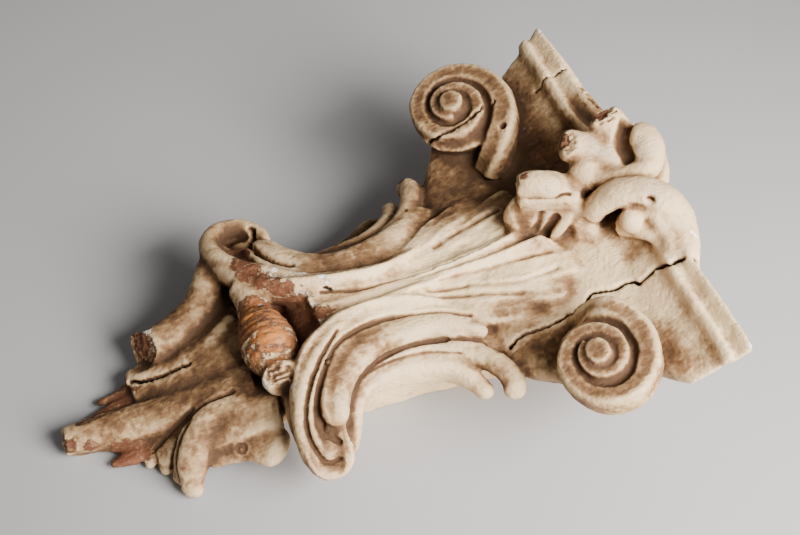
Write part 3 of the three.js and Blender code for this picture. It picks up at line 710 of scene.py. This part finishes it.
class CORBEL_OT_block(Operator):
    """Loft the bell, the shelf and the lower leaf, hollow the neck's end and slope its wall"""

    bl_idname = "corbel.block"
    bl_label = "Block"

    def execute(self, context):
        bm = bmesh.new()
        lofted(bm, bell_outline, steps=90, sides=150)
        lower = bmesh.new()
        lofted(lower, lower_outline, steps=80, sides=90)
        cutter = bmesh.new()
        ball = bmesh.ops.create_uvsphere(cutter, u_segments=48, v_segments=32, radius=MM)["verts"]
        bmesh.ops.scale(cutter, verts=ball, vec=HOLLOW["radii"])
        bmesh.ops.translate(cutter, verts=ball, vec=Vector(HOLLOW["at"]) * MM)
        hollow = clay("hollow", cutter)
        for obj in (clay("bell", bm), clay("lower", lower)):
            cut = obj.modifiers.new("hollow", "BOOLEAN")
            cut.object = hollow
            cut.operation = "DIFFERENCE"
            settled(obj)
        discard(hollow)
        shelf = bmesh.new()
        lofted(shelf, shelf_outline, steps=52, sides=220)
        strand(shelf, HOLLOW_WALL, steps=30, sides=32)
        clay("shelf", shelf)
        return {"FINISHED"}


class CORBEL_OT_volutes(Operator):
    """Wind the two volutes with their discs, eyes and roots"""

    bl_idname = "corbel.volutes"
    bl_label = "Volutes"

    def execute(self, context):
        bm = bmesh.new()
        out = Vector((-VOLUTE_LEAN, 0, 1)).normalized()
        up = Vector((1, 0, VOLUTE_LEAN)).normalized()
        aside = Vector((0, VOLUTE_OVAL, 0))
        basis = Matrix((up, aside, out)).transposed().to_4x4()
        for volute in VOLUTES:
            hand = volute["hand"]
            eye = Vector(volute["eye"])
            stops = []
            for i in range(VOLUTE_STEPS + 1):
                angle = math.radians(VOLUTE_TURN[0] + (VOLUTE_TURN[1] - VOLUTE_TURN[0]) * i / VOLUTE_STEPS)
                radius = volute["radius"] * math.exp(-VOLUTE_TIGHTENING * angle)
                dip = VOLUTE_DIP * max(0, 1 - i / (VOLUTE_DIP_SHARE * VOLUTE_STEPS)) ** 2
                high = VOLUTE_RISE * i / VOLUTE_STEPS - dip
                at = eye + up * radius * math.cos(angle) + aside * radius * math.sin(angle) + out * high
                half = VOLUTE_BAND["half"] * radius
                stops.append((*at, half, VOLUTE_BAND["rise"] * half, half + VOLUTE_BAND["foot"], out))
            strand(bm, stops, steps=220, sides=28, section=grooved, hand=hand)
            strand(bm, VOLUTE_ROOT, steps=20, sides=40, hand=hand)
            turn = Matrix.Diagonal((1, hand, 1, 1)) @ Matrix.Translation(eye) @ basis
            disc = VOLUTE_DISC * volute["radius"]
            for low, high, base, top in VOLUTE_CONES:
                place = Matrix.Scale(MM, 4) @ turn @ Matrix.Translation((0, 0, (low + high) / 2))
                bmesh.ops.create_cone(
                    bm, cap_ends=True, segments=48, radius1=base or disc, radius2=top or disc,
                    depth=high - low, matrix=place,
                )
        clay("volutes", bm)
        return {"FINISHED"}


class CORBEL_OT_scrolls(Operator):
    """Sweep the two C-scrolls with their bands, rims, tongues, hooks and arms"""

    bl_idname = "corbel.scrolls"
    bl_label = "Scrolls"

    def execute(self, context):
        bm = bmesh.new()
        for hand in (1, -1):
            band = FAR_BAND if hand > 0 else NEAR_BAND
            strand(bm, band, steps=120, sides=80, section=channelled, hand=hand, blunt=(0.16, 0.06))
            strand(bm, SCROLL_ROOT, steps=30, sides=32, hand=hand)
            strand(bm, SCROLL_INNER, steps=90, sides=24, hand=hand, blunt=(0.05, 0.06))
            strand(bm, SCROLL_HOOK, steps=90, sides=24, hand=hand, blunt=(0.05, 0.08))
            strand(bm, SCROLL_ARM, steps=40, sides=40, hand=hand, blunt=(0, 0.3))
            ball = bmesh.ops.create_uvsphere(bm, u_segments=48, v_segments=32, radius=MM)["verts"]
            bmesh.ops.scale(bm, verts=ball, vec=SCROLL_BULB["radii"])
            bmesh.ops.translate(bm, verts=ball, vec=Vector(SCROLL_BULB["at"]) * MM * Vector((1, hand, 1)))
        strand(bm, NEAR_RIM, steps=120, sides=20, hand=-1, blunt=(0.04, 0.05))
        strand(bm, NEAR_FILLET, steps=110, sides=20, hand=-1, blunt=(0.04, 0.05))
        strand(bm, NEAR_TONGUE, steps=110, sides=48, section=tongued, hand=-1, blunt=(0.04, 0.09))
        for tip in NEAR_TIPS:
            strand(bm, tip, steps=30, sides=20, hand=-1, blunt=(0, 0.15))
        strand(bm, FAR_RIM, steps=100, sides=24, blunt=(0.04, 0.05))
        strand(bm, FAR_TONGUE, steps=110, sides=48, section=tongued, blunt=(0.04, 0.09))
        strand(bm, FAR_PANEL, steps=60, sides=24, blunt=(0.3, 0.35))
        clay("scrolls", bm)
        return {"FINISHED"}


class CORBEL_OT_leaf(Operator):
    """Sweep the broad leaf on the bell and its broken curl"""

    bl_idname = "corbel.leaf"
    bl_label = "Leaf"

    def execute(self, context):
        bm = bmesh.new()
        for hand in (1, -1):
            strand(bm, LEAF_BLADE, steps=90, sides=96, section=bladed, hand=hand, blunt=(0, 0.1))
            for lobe in LEAF_LOBES:
                strand(bm, lobe, steps=60, sides=40, section=ribbed, hand=hand, blunt=(0, 0.12))
        strand(bm, CURL_WEB, steps=50, sides=40)
        place = Matrix.Translation(Vector(CURL_BLOCK["at"]) * MM)
        place = place @ Matrix.Rotation(math.radians(CURL_BLOCK["turn"]), 4, "Z")
        size = Matrix.Diagonal((*CURL_BLOCK["size"], 1 / MM)) * MM
        block = bmesh.ops.create_cube(bm, size=1, matrix=place @ size)["verts"]
        edges = {edge for vert in block for edge in vert.link_edges}
        bmesh.ops.bevel(
            bm, geom=list(edges), offset=CURL_BLOCK["edge"] * MM, affect="EDGES", segments=2, profile=0.5,
            material=-1,
        )
        strand(bm, CURL_CAP, steps=40, sides=32, blunt=(0.08, 0.2))
        for fold in CURL_FOLDS:
            strand(bm, fold, steps=30, sides=24, blunt=(0, 0.15))
        clay("leaf", bm)
        return {"FINISHED"}


class CORBEL_OT_shell(Operator):
    """Sweep the shell-like ornament over the shelf's edge"""

    bl_idname = "corbel.shell"
    bl_label = "Shell"

    def execute(self, context):
        bm = bmesh.new()
        for lobe in SHELL_STRANDS:
            strand(bm, lobe, steps=50, sides=32, blunt=(0, 0.12))
        for *at, radius in SHELL_BALLS:
            place = Matrix.Translation(Vector(at) * MM)
            bmesh.ops.create_uvsphere(bm, u_segments=32, v_segments=20, radius=radius * MM, matrix=place)
        clay("shell", bm)
        return {"FINISHED"}


class CORBEL_OT_pendant(Operator):
    """Sweep the midrib, the sheets, the lobes and the splinters of the leaf that ends the bracket"""

    bl_idname = "corbel.pendant"
    bl_label = "Pendant leaf"

    def execute(self, context):
        bm = bmesh.new()
        strand(bm, MIDRIB, steps=70, sides=36)
        for lobe in (*LEAF_SHEETS, *BROKEN_LOBES):
            strand(bm, lobe, steps=50, sides=32)
        for lobe in WHOLE_LOBES:
            strand(bm, lobe, steps=60, sides=40, hand=-1, blunt=(0, 0.1))
        for splinter in SPLINTERS:
            strand(bm, splinter, steps=30, sides=20)
        clay("pendant", bm)
        return {"FINISHED"}


class CORBEL_OT_roll(Operator):
    """Spin the bound roll that lies across the hollow"""

    bl_idname = "corbel.roll"
    bl_label = "Bound roll"

    def execute(self, context):
        bm = bmesh.new()
        along, radius = through(ROLL_PROFILE, np.linspace(0, 1, ROLL_SAMPLES)).T
        ends = along - ROLL_BINDING[0], ROLL_BINDING[1] - along
        bound = np.prod([np.clip(end / ROLL_BINDING_EDGE, 0, 1) for end in ends], axis=0)
        radius = radius + ROLL_SWELL * bound * np.abs(np.sin(along * math.pi / ROLL_PITCH))
        profile = [(along[0], 0), *zip(along, radius), (along[-1], 0)]
        verts = [bm.verts.new((out * MM, place * MM, 0)) for place, out in profile]
        edges = [bm.edges.new(pair) for pair in zip(verts, verts[1:])]
        bmesh.ops.spin(
            bm, geom=verts + edges, cent=(0, 0, 0), axis=(0, 1, 0), angle=2 * math.pi, steps=48,
            use_merge=True,
        )
        bmesh.ops.remove_doubles(bm, verts=bm.verts, dist=MERGE)
        bmesh.ops.translate(bm, verts=bm.verts, vec=Vector(ROLL_CENTRE) * MM)
        clay("roll", bm)
        return {"FINISHED"}


def fused(form):
    """Fuse the rough forms into one body"""
    forms = [obj for obj in bpy.data.objects if obj.name.startswith(CLAY)]
    if len(forms) < 2:
        raise RuntimeError("the rough forms are missing: make them first")
    bm = bmesh.new()
    for obj in forms:
        bm.from_mesh(obj.data)
        discard(obj)
    mesh = bpy.data.meshes.new("corbel_body")
    bm.to_mesh(mesh)
    bm.free()
    body = bpy.data.objects.new("corbel_body", mesh)
    bpy.context.scene.collection.objects.link(body)
    remesh = body.modifiers.new("fuse", "REMESH")
    remesh.mode = "VOXEL"
    remesh.voxel_size = form.voxel
    smooth = body.modifiers.new("soften", "SMOOTH")
    smooth.factor = 0.5
    smooth.iterations = form.softening
    settled(body)
    return body


def thinned(body, triangles):
    now = sum(len(face.vertices) - 2 for face in body.data.polygons)
    if now > triangles:
        thin = body.modifiers.new("thin", "DECIMATE")
        thin.ratio = triangles / now
        settled(body)


def points_of(mesh):
    flat = np.empty(3 * len(mesh.vertices), np.float32)
    mesh.vertices.foreach_get("co", flat)
    return flat.reshape(-1, 3).astype(float) / MM


def normals_of(mesh):
    flat = np.empty(3 * len(mesh.vertices), np.float32)
    mesh.vertex_normals.foreach_get("vector", flat)
    return flat.reshape(-1, 3).astype(float)


def set_points(mesh, points):
    mesh.vertices.foreach_set("co", (points * MM).astype(np.float32).ravel())
    mesh.update()


def neighbour_mean(mesh, values):
    """Mean of each vertex's neighbours"""
    pairs = np.empty(2 * len(mesh.edges), np.int32)
    mesh.edges.foreach_get("vertices", pairs)
    a, b = pairs.reshape(-1, 2).T
    count = len(mesh.vertices)
    number = np.bincount(a, minlength=count) + np.bincount(b, minlength=count)
    columns = values.reshape(count, -1).T
    sums = [np.bincount(a, column[b], count) + np.bincount(b, column[a], count) for column in columns]
    return (np.stack(sums, axis=1) / np.maximum(number, 1)[:, None]).reshape(values.shape)


def hollows(body, rays, seed):
    """How enclosed each vertex is, from 0 on open faces to 1 in deep hollows"""
    mesh = body.data
    graph = bpy.context.evaluated_depsgraph_get()
    tree = BVHTree.FromObject(body, graph)
    rng = np.random.default_rng(seed)
    around = unit(rng.normal(size=(rays, 3)))
    points = points_of(mesh) * MM
    normals = normals_of(mesh)
    closed = np.zeros(len(points))
    for i, (point, normal) in enumerate(zip(points, normals)):
        start = Vector(point + normal * RAY_START)
        for way in around + normal * RAY_LEAN:
            if tree.ray_cast(start, way, RAY_REACH)[0] is not None:
                closed[i] += 1
    return closed / rays


def along(points, path, reach):
    """Vertices within reach of a path, and how far they are from it"""
    low, high = path.min(axis=0) - reach, path.max(axis=0) + reach
    ids = np.where(np.all((points > low) & (points < high), axis=1))[0]
    gap = np.full(len(ids), np.inf)
    for a, b in zip(path, path[1:]):
        way = b - a
        share = np.clip((points[ids] - a) @ way / (way @ way + 1e-9), 0, 1)
        gap = np.minimum(gap, np.linalg.norm(points[ids] - a - share[:, None] * way, axis=1))
    close = gap < reach
    return ids[close], gap[close]


def laid(path, tree, samples=40):
    """A smooth path through places, laid on the surface"""
    line = through(path, np.linspace(0, 1, samples)) * MM
    return np.array([tree.find_nearest(Vector(point))[0] for point in line]) / MM


def rough(points, scale, octaves=4):
    return np.array([noise.fractal(Vector(point) / scale, 1, 2, octaves) for point in points])


def filled(mesh, passes):
    """Round out the creases between the forms, leaving the ridges as they are"""
    for _ in range(passes):
        points = points_of(mesh)
        normals = normals_of(mesh)
        lift = np.sum((neighbour_mean(mesh, points) - points) * normals, axis=1)
        set_points(mesh, points + normals * np.maximum(lift, 0)[:, None])


def written(mesh, layers):
    for name, values in layers.items():
        mesh.attributes.new(name, "FLOAT", "POINT").data.foreach_set("value", values.astype(np.float32))


def carved(body, form):
    """Round out the creases, cut breaks, grooves, pits and cracks, and write where lines and cracks run, the
    lines darker as painted shade the deeper they are
    """
    mesh = body.data
    filled(mesh, form.rounding)
    points = points_of(mesh)
    for at, way, radius, roughness in BREAKS:
        way = unit(np.array(way, float))
        offset = points - at
        high = offset @ way
        flat = np.linalg.norm(offset - high[:, None] * way, axis=1)
        ids = np.where((high > 0) & (high < radius) & (flat < radius))[0]
        share = np.clip((radius - flat[ids]) / (BREAK_RIM * radius), 0, 1)
        jag = roughness * rough(points[ids] * BREAK_GRAIN["stretch"], BREAK_GRAIN["scale"])
        points[ids] -= way * ((high[ids] - jag) * share)[:, None]
    set_points(mesh, points)
    tree = BVHTree.FromObject(body, bpy.context.evaluated_depsgraph_get())
    normals = normals_of(mesh)
    moved, lined, cracked = np.zeros((3, len(points)))
    for path, width, depth in GROOVES:
        ids, gap = along(points, laid(path, tree), width)
        moved[ids] += depth * (1 - (gap / width) ** 2) ** 2
        # Grooves are painted dark as shade, the more the deeper they are
        lined[ids] = np.maximum(lined[ids], (1 - gap / width) * min(1, depth / LINE_DARK_DEPTH))
    for at, radius, depth in PITS:
        gap = np.linalg.norm(points - laid([at, at], tree, 1)[0], axis=1)
        near = np.clip(1 - (gap / radius) ** 2, 0, 1)
        moved += depth * near
        # Pits likewise get painted shade by their depth
        lined = np.maximum(lined, near * np.clip(depth, 0, PIT_DARK_DEPTH) / PIT_DARK_DEPTH)
    for path, width, depth in CRACKS:
        line = laid(path, tree)
        line = line + np.random.default_rng(form.seed).normal(0, CRACK_WANDER, line.shape)
        ids, gap = along(points, line, width)
        moved[ids] += depth * (1 - gap / width)
        cracked[ids] = np.maximum(cracked[ids], 1 - gap / width)
    moved += sum(height * rough(points, scale, octaves) for height, scale, octaves in UNEVEN)
    points -= normals * moved[:, None]
    points[:, 2] = np.maximum(points[:, 2], 0)
    horn = points[:, 0] > HORN_FROM
    points[horn, 1] = np.clip(points[horn, 1], -HORN_END, HORN_END)
    set_points(mesh, points)
    written(mesh, {"lined": lined, "cracked": cracked})


def spotted(points, spots):
    """How near each vertex is to the spots, 1 at their centres and 0.5 at their edges"""
    near = np.zeros(len(points))
    for x, y, z, radius in spots:
        gap = np.linalg.norm(points - (x, y, z), axis=1)
        near = np.maximum(near, 1 - 0.5 * gap / radius)
    return near


def worn(body, form):
    """Write how each vertex has aged and where shade and light are painted on it: bare, chalky, grey, warm,
    brown (painted shade with browner paint) or pale (painted light with cleaner paint), enclosed and cupped
    (painted shade in the hollows)
    """
    mesh = body.data
    points = points_of(mesh)
    closed = hollows(body, form.rays, form.seed)
    flat = points.copy()
    for _ in range(CUP_PASSES):
        flat = 0.5 * (flat + neighbour_mean(mesh, flat))
    cupped = np.sum((flat - points) * normals_of(mesh), axis=1)
    # Soften how enclosed each vertex is; the material paints shade by it
    for _ in range(HOLLOW_SHADE_PASSES):
        closed = 0.5 * (closed + neighbour_mean(mesh, closed))
    layers = {name: spotted(points, spots) for name, spots in SPOTS.items()}
    written(mesh, {**layers, "closed": closed, "cupped": cupped})


class Layers:
    """Builds a layered material node by node"""

    def __init__(self, material):
        material.use_nodes = True
        self.tree = material.node_tree
        self.shader = self.tree.nodes["Principled BSDF"]
        self.place = self.node("ShaderNodeTexCoord").outputs["Object"]

    def node(self, kind, **settings):
        made = self.tree.nodes.new(kind)
        for name, value in settings.items():
            setattr(made, name, value)
        return made

    def feed(self, socket, value):
        if isinstance(value, bpy.types.NodeSocket):
            self.tree.links.new(value, socket)
        else:
            socket.default_value = value

    def worn(self, name):
        return self.node("ShaderNodeAttribute", attribute_name=name).outputs["Fac"]

    def math(self, operation, a, b):
        made = self.node("ShaderNodeMath", operation=operation)
        self.feed(made.inputs[0], a)
        self.feed(made.inputs[1], b)
        return made.outputs[0]

    def add(self, first, *rest):
        for value in rest:
            first = self.math("ADD", first, value)
        return first

    def times(self, a, b):
        return self.math("MULTIPLY", a, b)

    def step(self, value, low, high):
        made = self.node("ShaderNodeMapRange", interpolation_type="SMOOTHSTEP")
        self.feed(made.inputs["Value"], value)
        made.inputs["From Min"].default_value = low
        made.inputs["From Max"].default_value = high
        return made.outputs["Result"]

    def noise(self, scale, detail, roughness, stretch, distortion):
        at = self.node("ShaderNodeMapping")
        self.feed(at.inputs["Vector"], self.place)
        at.inputs["Scale"].default_value = (stretch, 1, 1)
        made = self.node("ShaderNodeTexNoise")
        self.feed(made.inputs["Vector"], at.outputs["Vector"])
        made.inputs["Scale"].default_value = scale
        made.inputs["Detail"].default_value = detail
        made.inputs["Roughness"].default_value = roughness
        made.inputs["Distortion"].default_value = distortion
        return made.outputs["Fac"]

    def mix(self, factor, a, b):
        made = self.node("ShaderNodeMix", data_type="RGBA")
        self.feed(made.inputs["Factor"], factor)
        for socket, colour in (("A", a), ("B", b)):
            target = [i for i in made.inputs if i.name == socket and i.type == "RGBA"][0]
            self.feed(target, colour if isinstance(colour, bpy.types.NodeSocket) else (*colour, 1))
        return [o for o in made.outputs if o.type == "RGBA"][0]

    def bump(self, height, strength, distance):
        made = self.node("ShaderNodeBump")
        self.feed(made.inputs["Height"], height)
        made.inputs["Strength"].default_value = strength
        made.inputs["Distance"].default_value = distance
        return made.outputs["Normal"]


def scaled(colour, share):
    return tuple(share * value for value in colour)


def painted_wood(finish):
    """Cream paint over white gesso over red-brown wood, darkened by varnish, soiling and painted shade in the
    hollows, with spots of painted shade and of painted light
    """
    material = bpy.data.materials.new("painted_wood")
    layers = Layers(material)
    add, times = layers.add, layers.times
    signs = {name: layers.noise(*row) for name, row in NOISES.items()}
    signs.update({name: layers.worn(name) for name in ON_VERTICES})

    def weighed(name):
        return add(*(times(signs[sign], weight) for sign, weight in WEIGHTS[name].items()))

    def step(value, name):
        return layers.step(value, *RANGES[name])

    def over(base, mask, name, colour):
        return layers.mix(times(mask, SHARES[name]), base, colour)

    signs["edge"] = layers.math("SUBTRACT", signs["blotch"], NOISE_MEAN)
    signs["fibre"] = layers.math("SUBTRACT", signs["grain"], NOISE_MEAN)
    # The brown spots add painted shade with browner paint, the pale spots painted light with cleaner paint,
    # the grooves painted shade
    for name, sign in (("proud", "cupped"), ("browned_and_shaded", "brown"), ("cleaned_and_lit", "pale"), ("grooves_shaded", "lined")):
        signs[name] = step(signs[sign], name)
    # The sum below mixes real ageing with painted shade from enclosed, cupped and grooved places and the
    # brown spots, and painted light from the pale spots
    age_and_shade = add(weighed("age_and_shade"), AGE_AND_SHADE_START)
    # The pale spots take the cream as cleaner paint and painted light
    paint = over(finish.paint, signs["cleaned_and_lit"], "cream", finish.cream)
    # Tan, then patina, then the darkest coat: real ageing and soiling, and painted shade where the sum is
    # highest in the hollows
    for name in ("tan", "patina_and_shade", "grime_and_shade"):
        paint = over(paint, step(age_and_shade, name), name, getattr(finish, name))
    paint = over(paint, times(step(weighed("ashen"), "ashen"), step(age_and_shade, "young")), "ash", finish.ash)
    paint = over(paint, step(signs["fine"], "specks"), "specks", finish.patina_and_shade)

    lost = weighed("lost")
    rim = times(step(lost, "rim"), step(signs["chalky"], "rimmed"))
    ground = layers.math("MAXIMUM", rim, step(weighed("chalk"), "chalk"))
    wood = layers.mix(step(signs["grain"], "veins"), scaled(finish.wood, WOOD_VEIN_SHADE), finish.wood)
    warm = times(step(signs["warm"], "warm"), step(weighed("bound"), "bound"))
    wood = over(wood, warm, "stain", finish.stain)
    wood = over(wood, step(signs["edge"], "flecks"), "flecks", finish.tan)
    # Bare wood also darkens in the hollows, as soiling and painted shade
    wood = over(wood, step(age_and_shade, "dirt_and_shade"), "dirt_and_shade", finish.grime_and_shade)
    bared = step(lost, "bared")
    colour = layers.mix(bared, layers.mix(ground, paint, finish.gesso), wood)
    colour = layers.mix(step(weighed("split"), "split"), colour, scaled(finish.grime_and_shade, CRACK_SHADE))
    layers.feed(layers.shader.inputs["Base Color"], colour)
    polish = times(signs["proud"], ROUGHNESS["polish"])
    layers.feed(layers.shader.inputs["Roughness"], layers.math("SUBTRACT", ROUGHNESS["paint"], polish))
    layers.shader.inputs["Specular IOR Level"].default_value = SPECULAR
    signs["ground"] = ground
    signs["relief"] = times(signs["grain"], add(times(bared, RELIEF["wood"]), RELIEF["paint"]))
    normal = layers.bump(weighed("height"), RELIEF["strength"], RELIEF["distance"])
    layers.feed(layers.shader.inputs["Normal"], normal)
    return material


class CORBEL_OT_carve(Operator):
    """Fuse the rough forms, carve and break them, and paint the finished body"""

    bl_idname = "corbel.carve"
    bl_label = "Carve and paint"

    def execute(self, context):
        form = context.scene.corbel_form
        body = fused(form)
        carved(body, form)
        thinned(body, form.triangles)
        worn(body, form)
        for face in body.data.polygons:
            face.use_smooth = True
        body.data.materials.append(painted_wood(context.scene.corbel_finish))
        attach(body, "root")
        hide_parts(NODE)
        return {"FINISHED"}


class CORBEL_OT_stage(Operator):
    """Set the floor, the light and the camera"""

    bl_idname = "corbel.stage"
    bl_label = "Stage"

    def execute(self, context):
        stage = context.scene.corbel_stage
        bm = bmesh.new()
        bmesh.ops.create_grid(bm, x_segments=1, y_segments=1, size=FLOOR_HALF)
        mesh = bpy.data.meshes.new("floor")
        bm.to_mesh(mesh)
        bm.free()
        floor = bpy.data.objects.new("floor", mesh)
        context.scene.collection.objects.link(floor)
        material = bpy.data.materials.new("floor")
        material.use_nodes = True
        shader = material.node_tree.nodes["Principled BSDF"]
        shader.inputs["Base Color"].default_value = (*stage.floor, 1)
        shader.inputs["Roughness"].default_value = FLOOR_ROUGHNESS
        mesh.materials.append(material)
        light = bpy.data.lights.new("key", "AREA")
        light.energy = stage.key
        light.size = KEY["size"]
        light.spread = math.radians(KEY["spread"])
        key = bpy.data.objects.new("key", light)
        key.location = KEY["at"]
        aim = Vector(KEY["aim"]) - key.location
        key.rotation_euler = aim.to_track_quat("-Z", "Y").to_euler()
        context.scene.collection.objects.link(key)
        world = bpy.data.worlds.new("studio")
        world.use_nodes = True
        world.node_tree.nodes["Background"].inputs["Color"].default_value = (1, 1, 1, 1)
        world.node_tree.nodes["Background"].inputs["Strength"].default_value = stage.fill
        context.scene.world = world
        lens = bpy.data.cameras.new("camera")
        lens.lens = CAMERA["lens"]
        lens.sensor_width = CAMERA["sensor"]
        camera = bpy.data.objects.new("camera", lens)
        turn, rise = math.radians(CAMERA["turn"]), math.radians(CAMERA["rise"])
        right = Vector((math.cos(turn), math.sin(turn), 0))
        back = Vector((math.sin(turn) * math.cos(rise), -math.cos(turn) * math.cos(rise), math.sin(rise)))
        pose = Matrix((right, back.cross(right), back)).transposed().to_4x4()
        pose.translation = CAMERA["at"]
        camera.matrix_world = pose
        context.scene.collection.objects.link(camera)
        context.scene.camera = camera
        return {"FINISHED"}


class CORBEL_PT_panel(Panel):
    """Builds the corbel from the sidebar"""

    bl_idname = "CORBEL_PT_panel"
    bl_label = "Carved corbel"
    bl_space_type = "VIEW_3D"
    bl_region_type = "UI"
    bl_category = "Corbel"

    def draw(self, context):
        for group in ("corbel_form", "corbel_finish", "corbel_stage"):
            box = self.layout.box()
            settings = getattr(context.scene, group)
            for name in settings.__annotations__:
                box.prop(settings, name)
        for operator in OPERATORS:
            self.layout.operator(operator.bl_idname)


GROUPS = {"corbel_form": CorbelForm, "corbel_finish": CorbelFinish, "corbel_stage": CorbelStage}
OPERATORS = [
    CORBEL_OT_block, CORBEL_OT_volutes, CORBEL_OT_scrolls, CORBEL_OT_leaf, CORBEL_OT_shell, CORBEL_OT_pendant,
    CORBEL_OT_roll, CORBEL_OT_carve, CORBEL_OT_stage,
]


def register():
    for cls in (*GROUPS.values(), *OPERATORS, CORBEL_PT_panel):
        bpy.utils.register_class(cls)
    for name, group in GROUPS.items():
        setattr(bpy.types.Scene, name, PointerProperty(type=group))


def unregister():
    for name in GROUPS:
        delattr(bpy.types.Scene, name)
    for cls in reversed((*GROUPS.values(), *OPERATORS, CORBEL_PT_panel)):
        bpy.utils.unregister_class(cls)


def main():
    register()
    bpy.ops.corbel.block()
    bpy.ops.corbel.volutes()
    bpy.ops.corbel.scrolls()
    bpy.ops.corbel.leaf()
    bpy.ops.corbel.shell()
    bpy.ops.corbel.pendant()
    bpy.ops.corbel.roll()
    bpy.ops.corbel.carve()
    bpy.ops.corbel.stage()


if __name__ == "__main__":
    main()
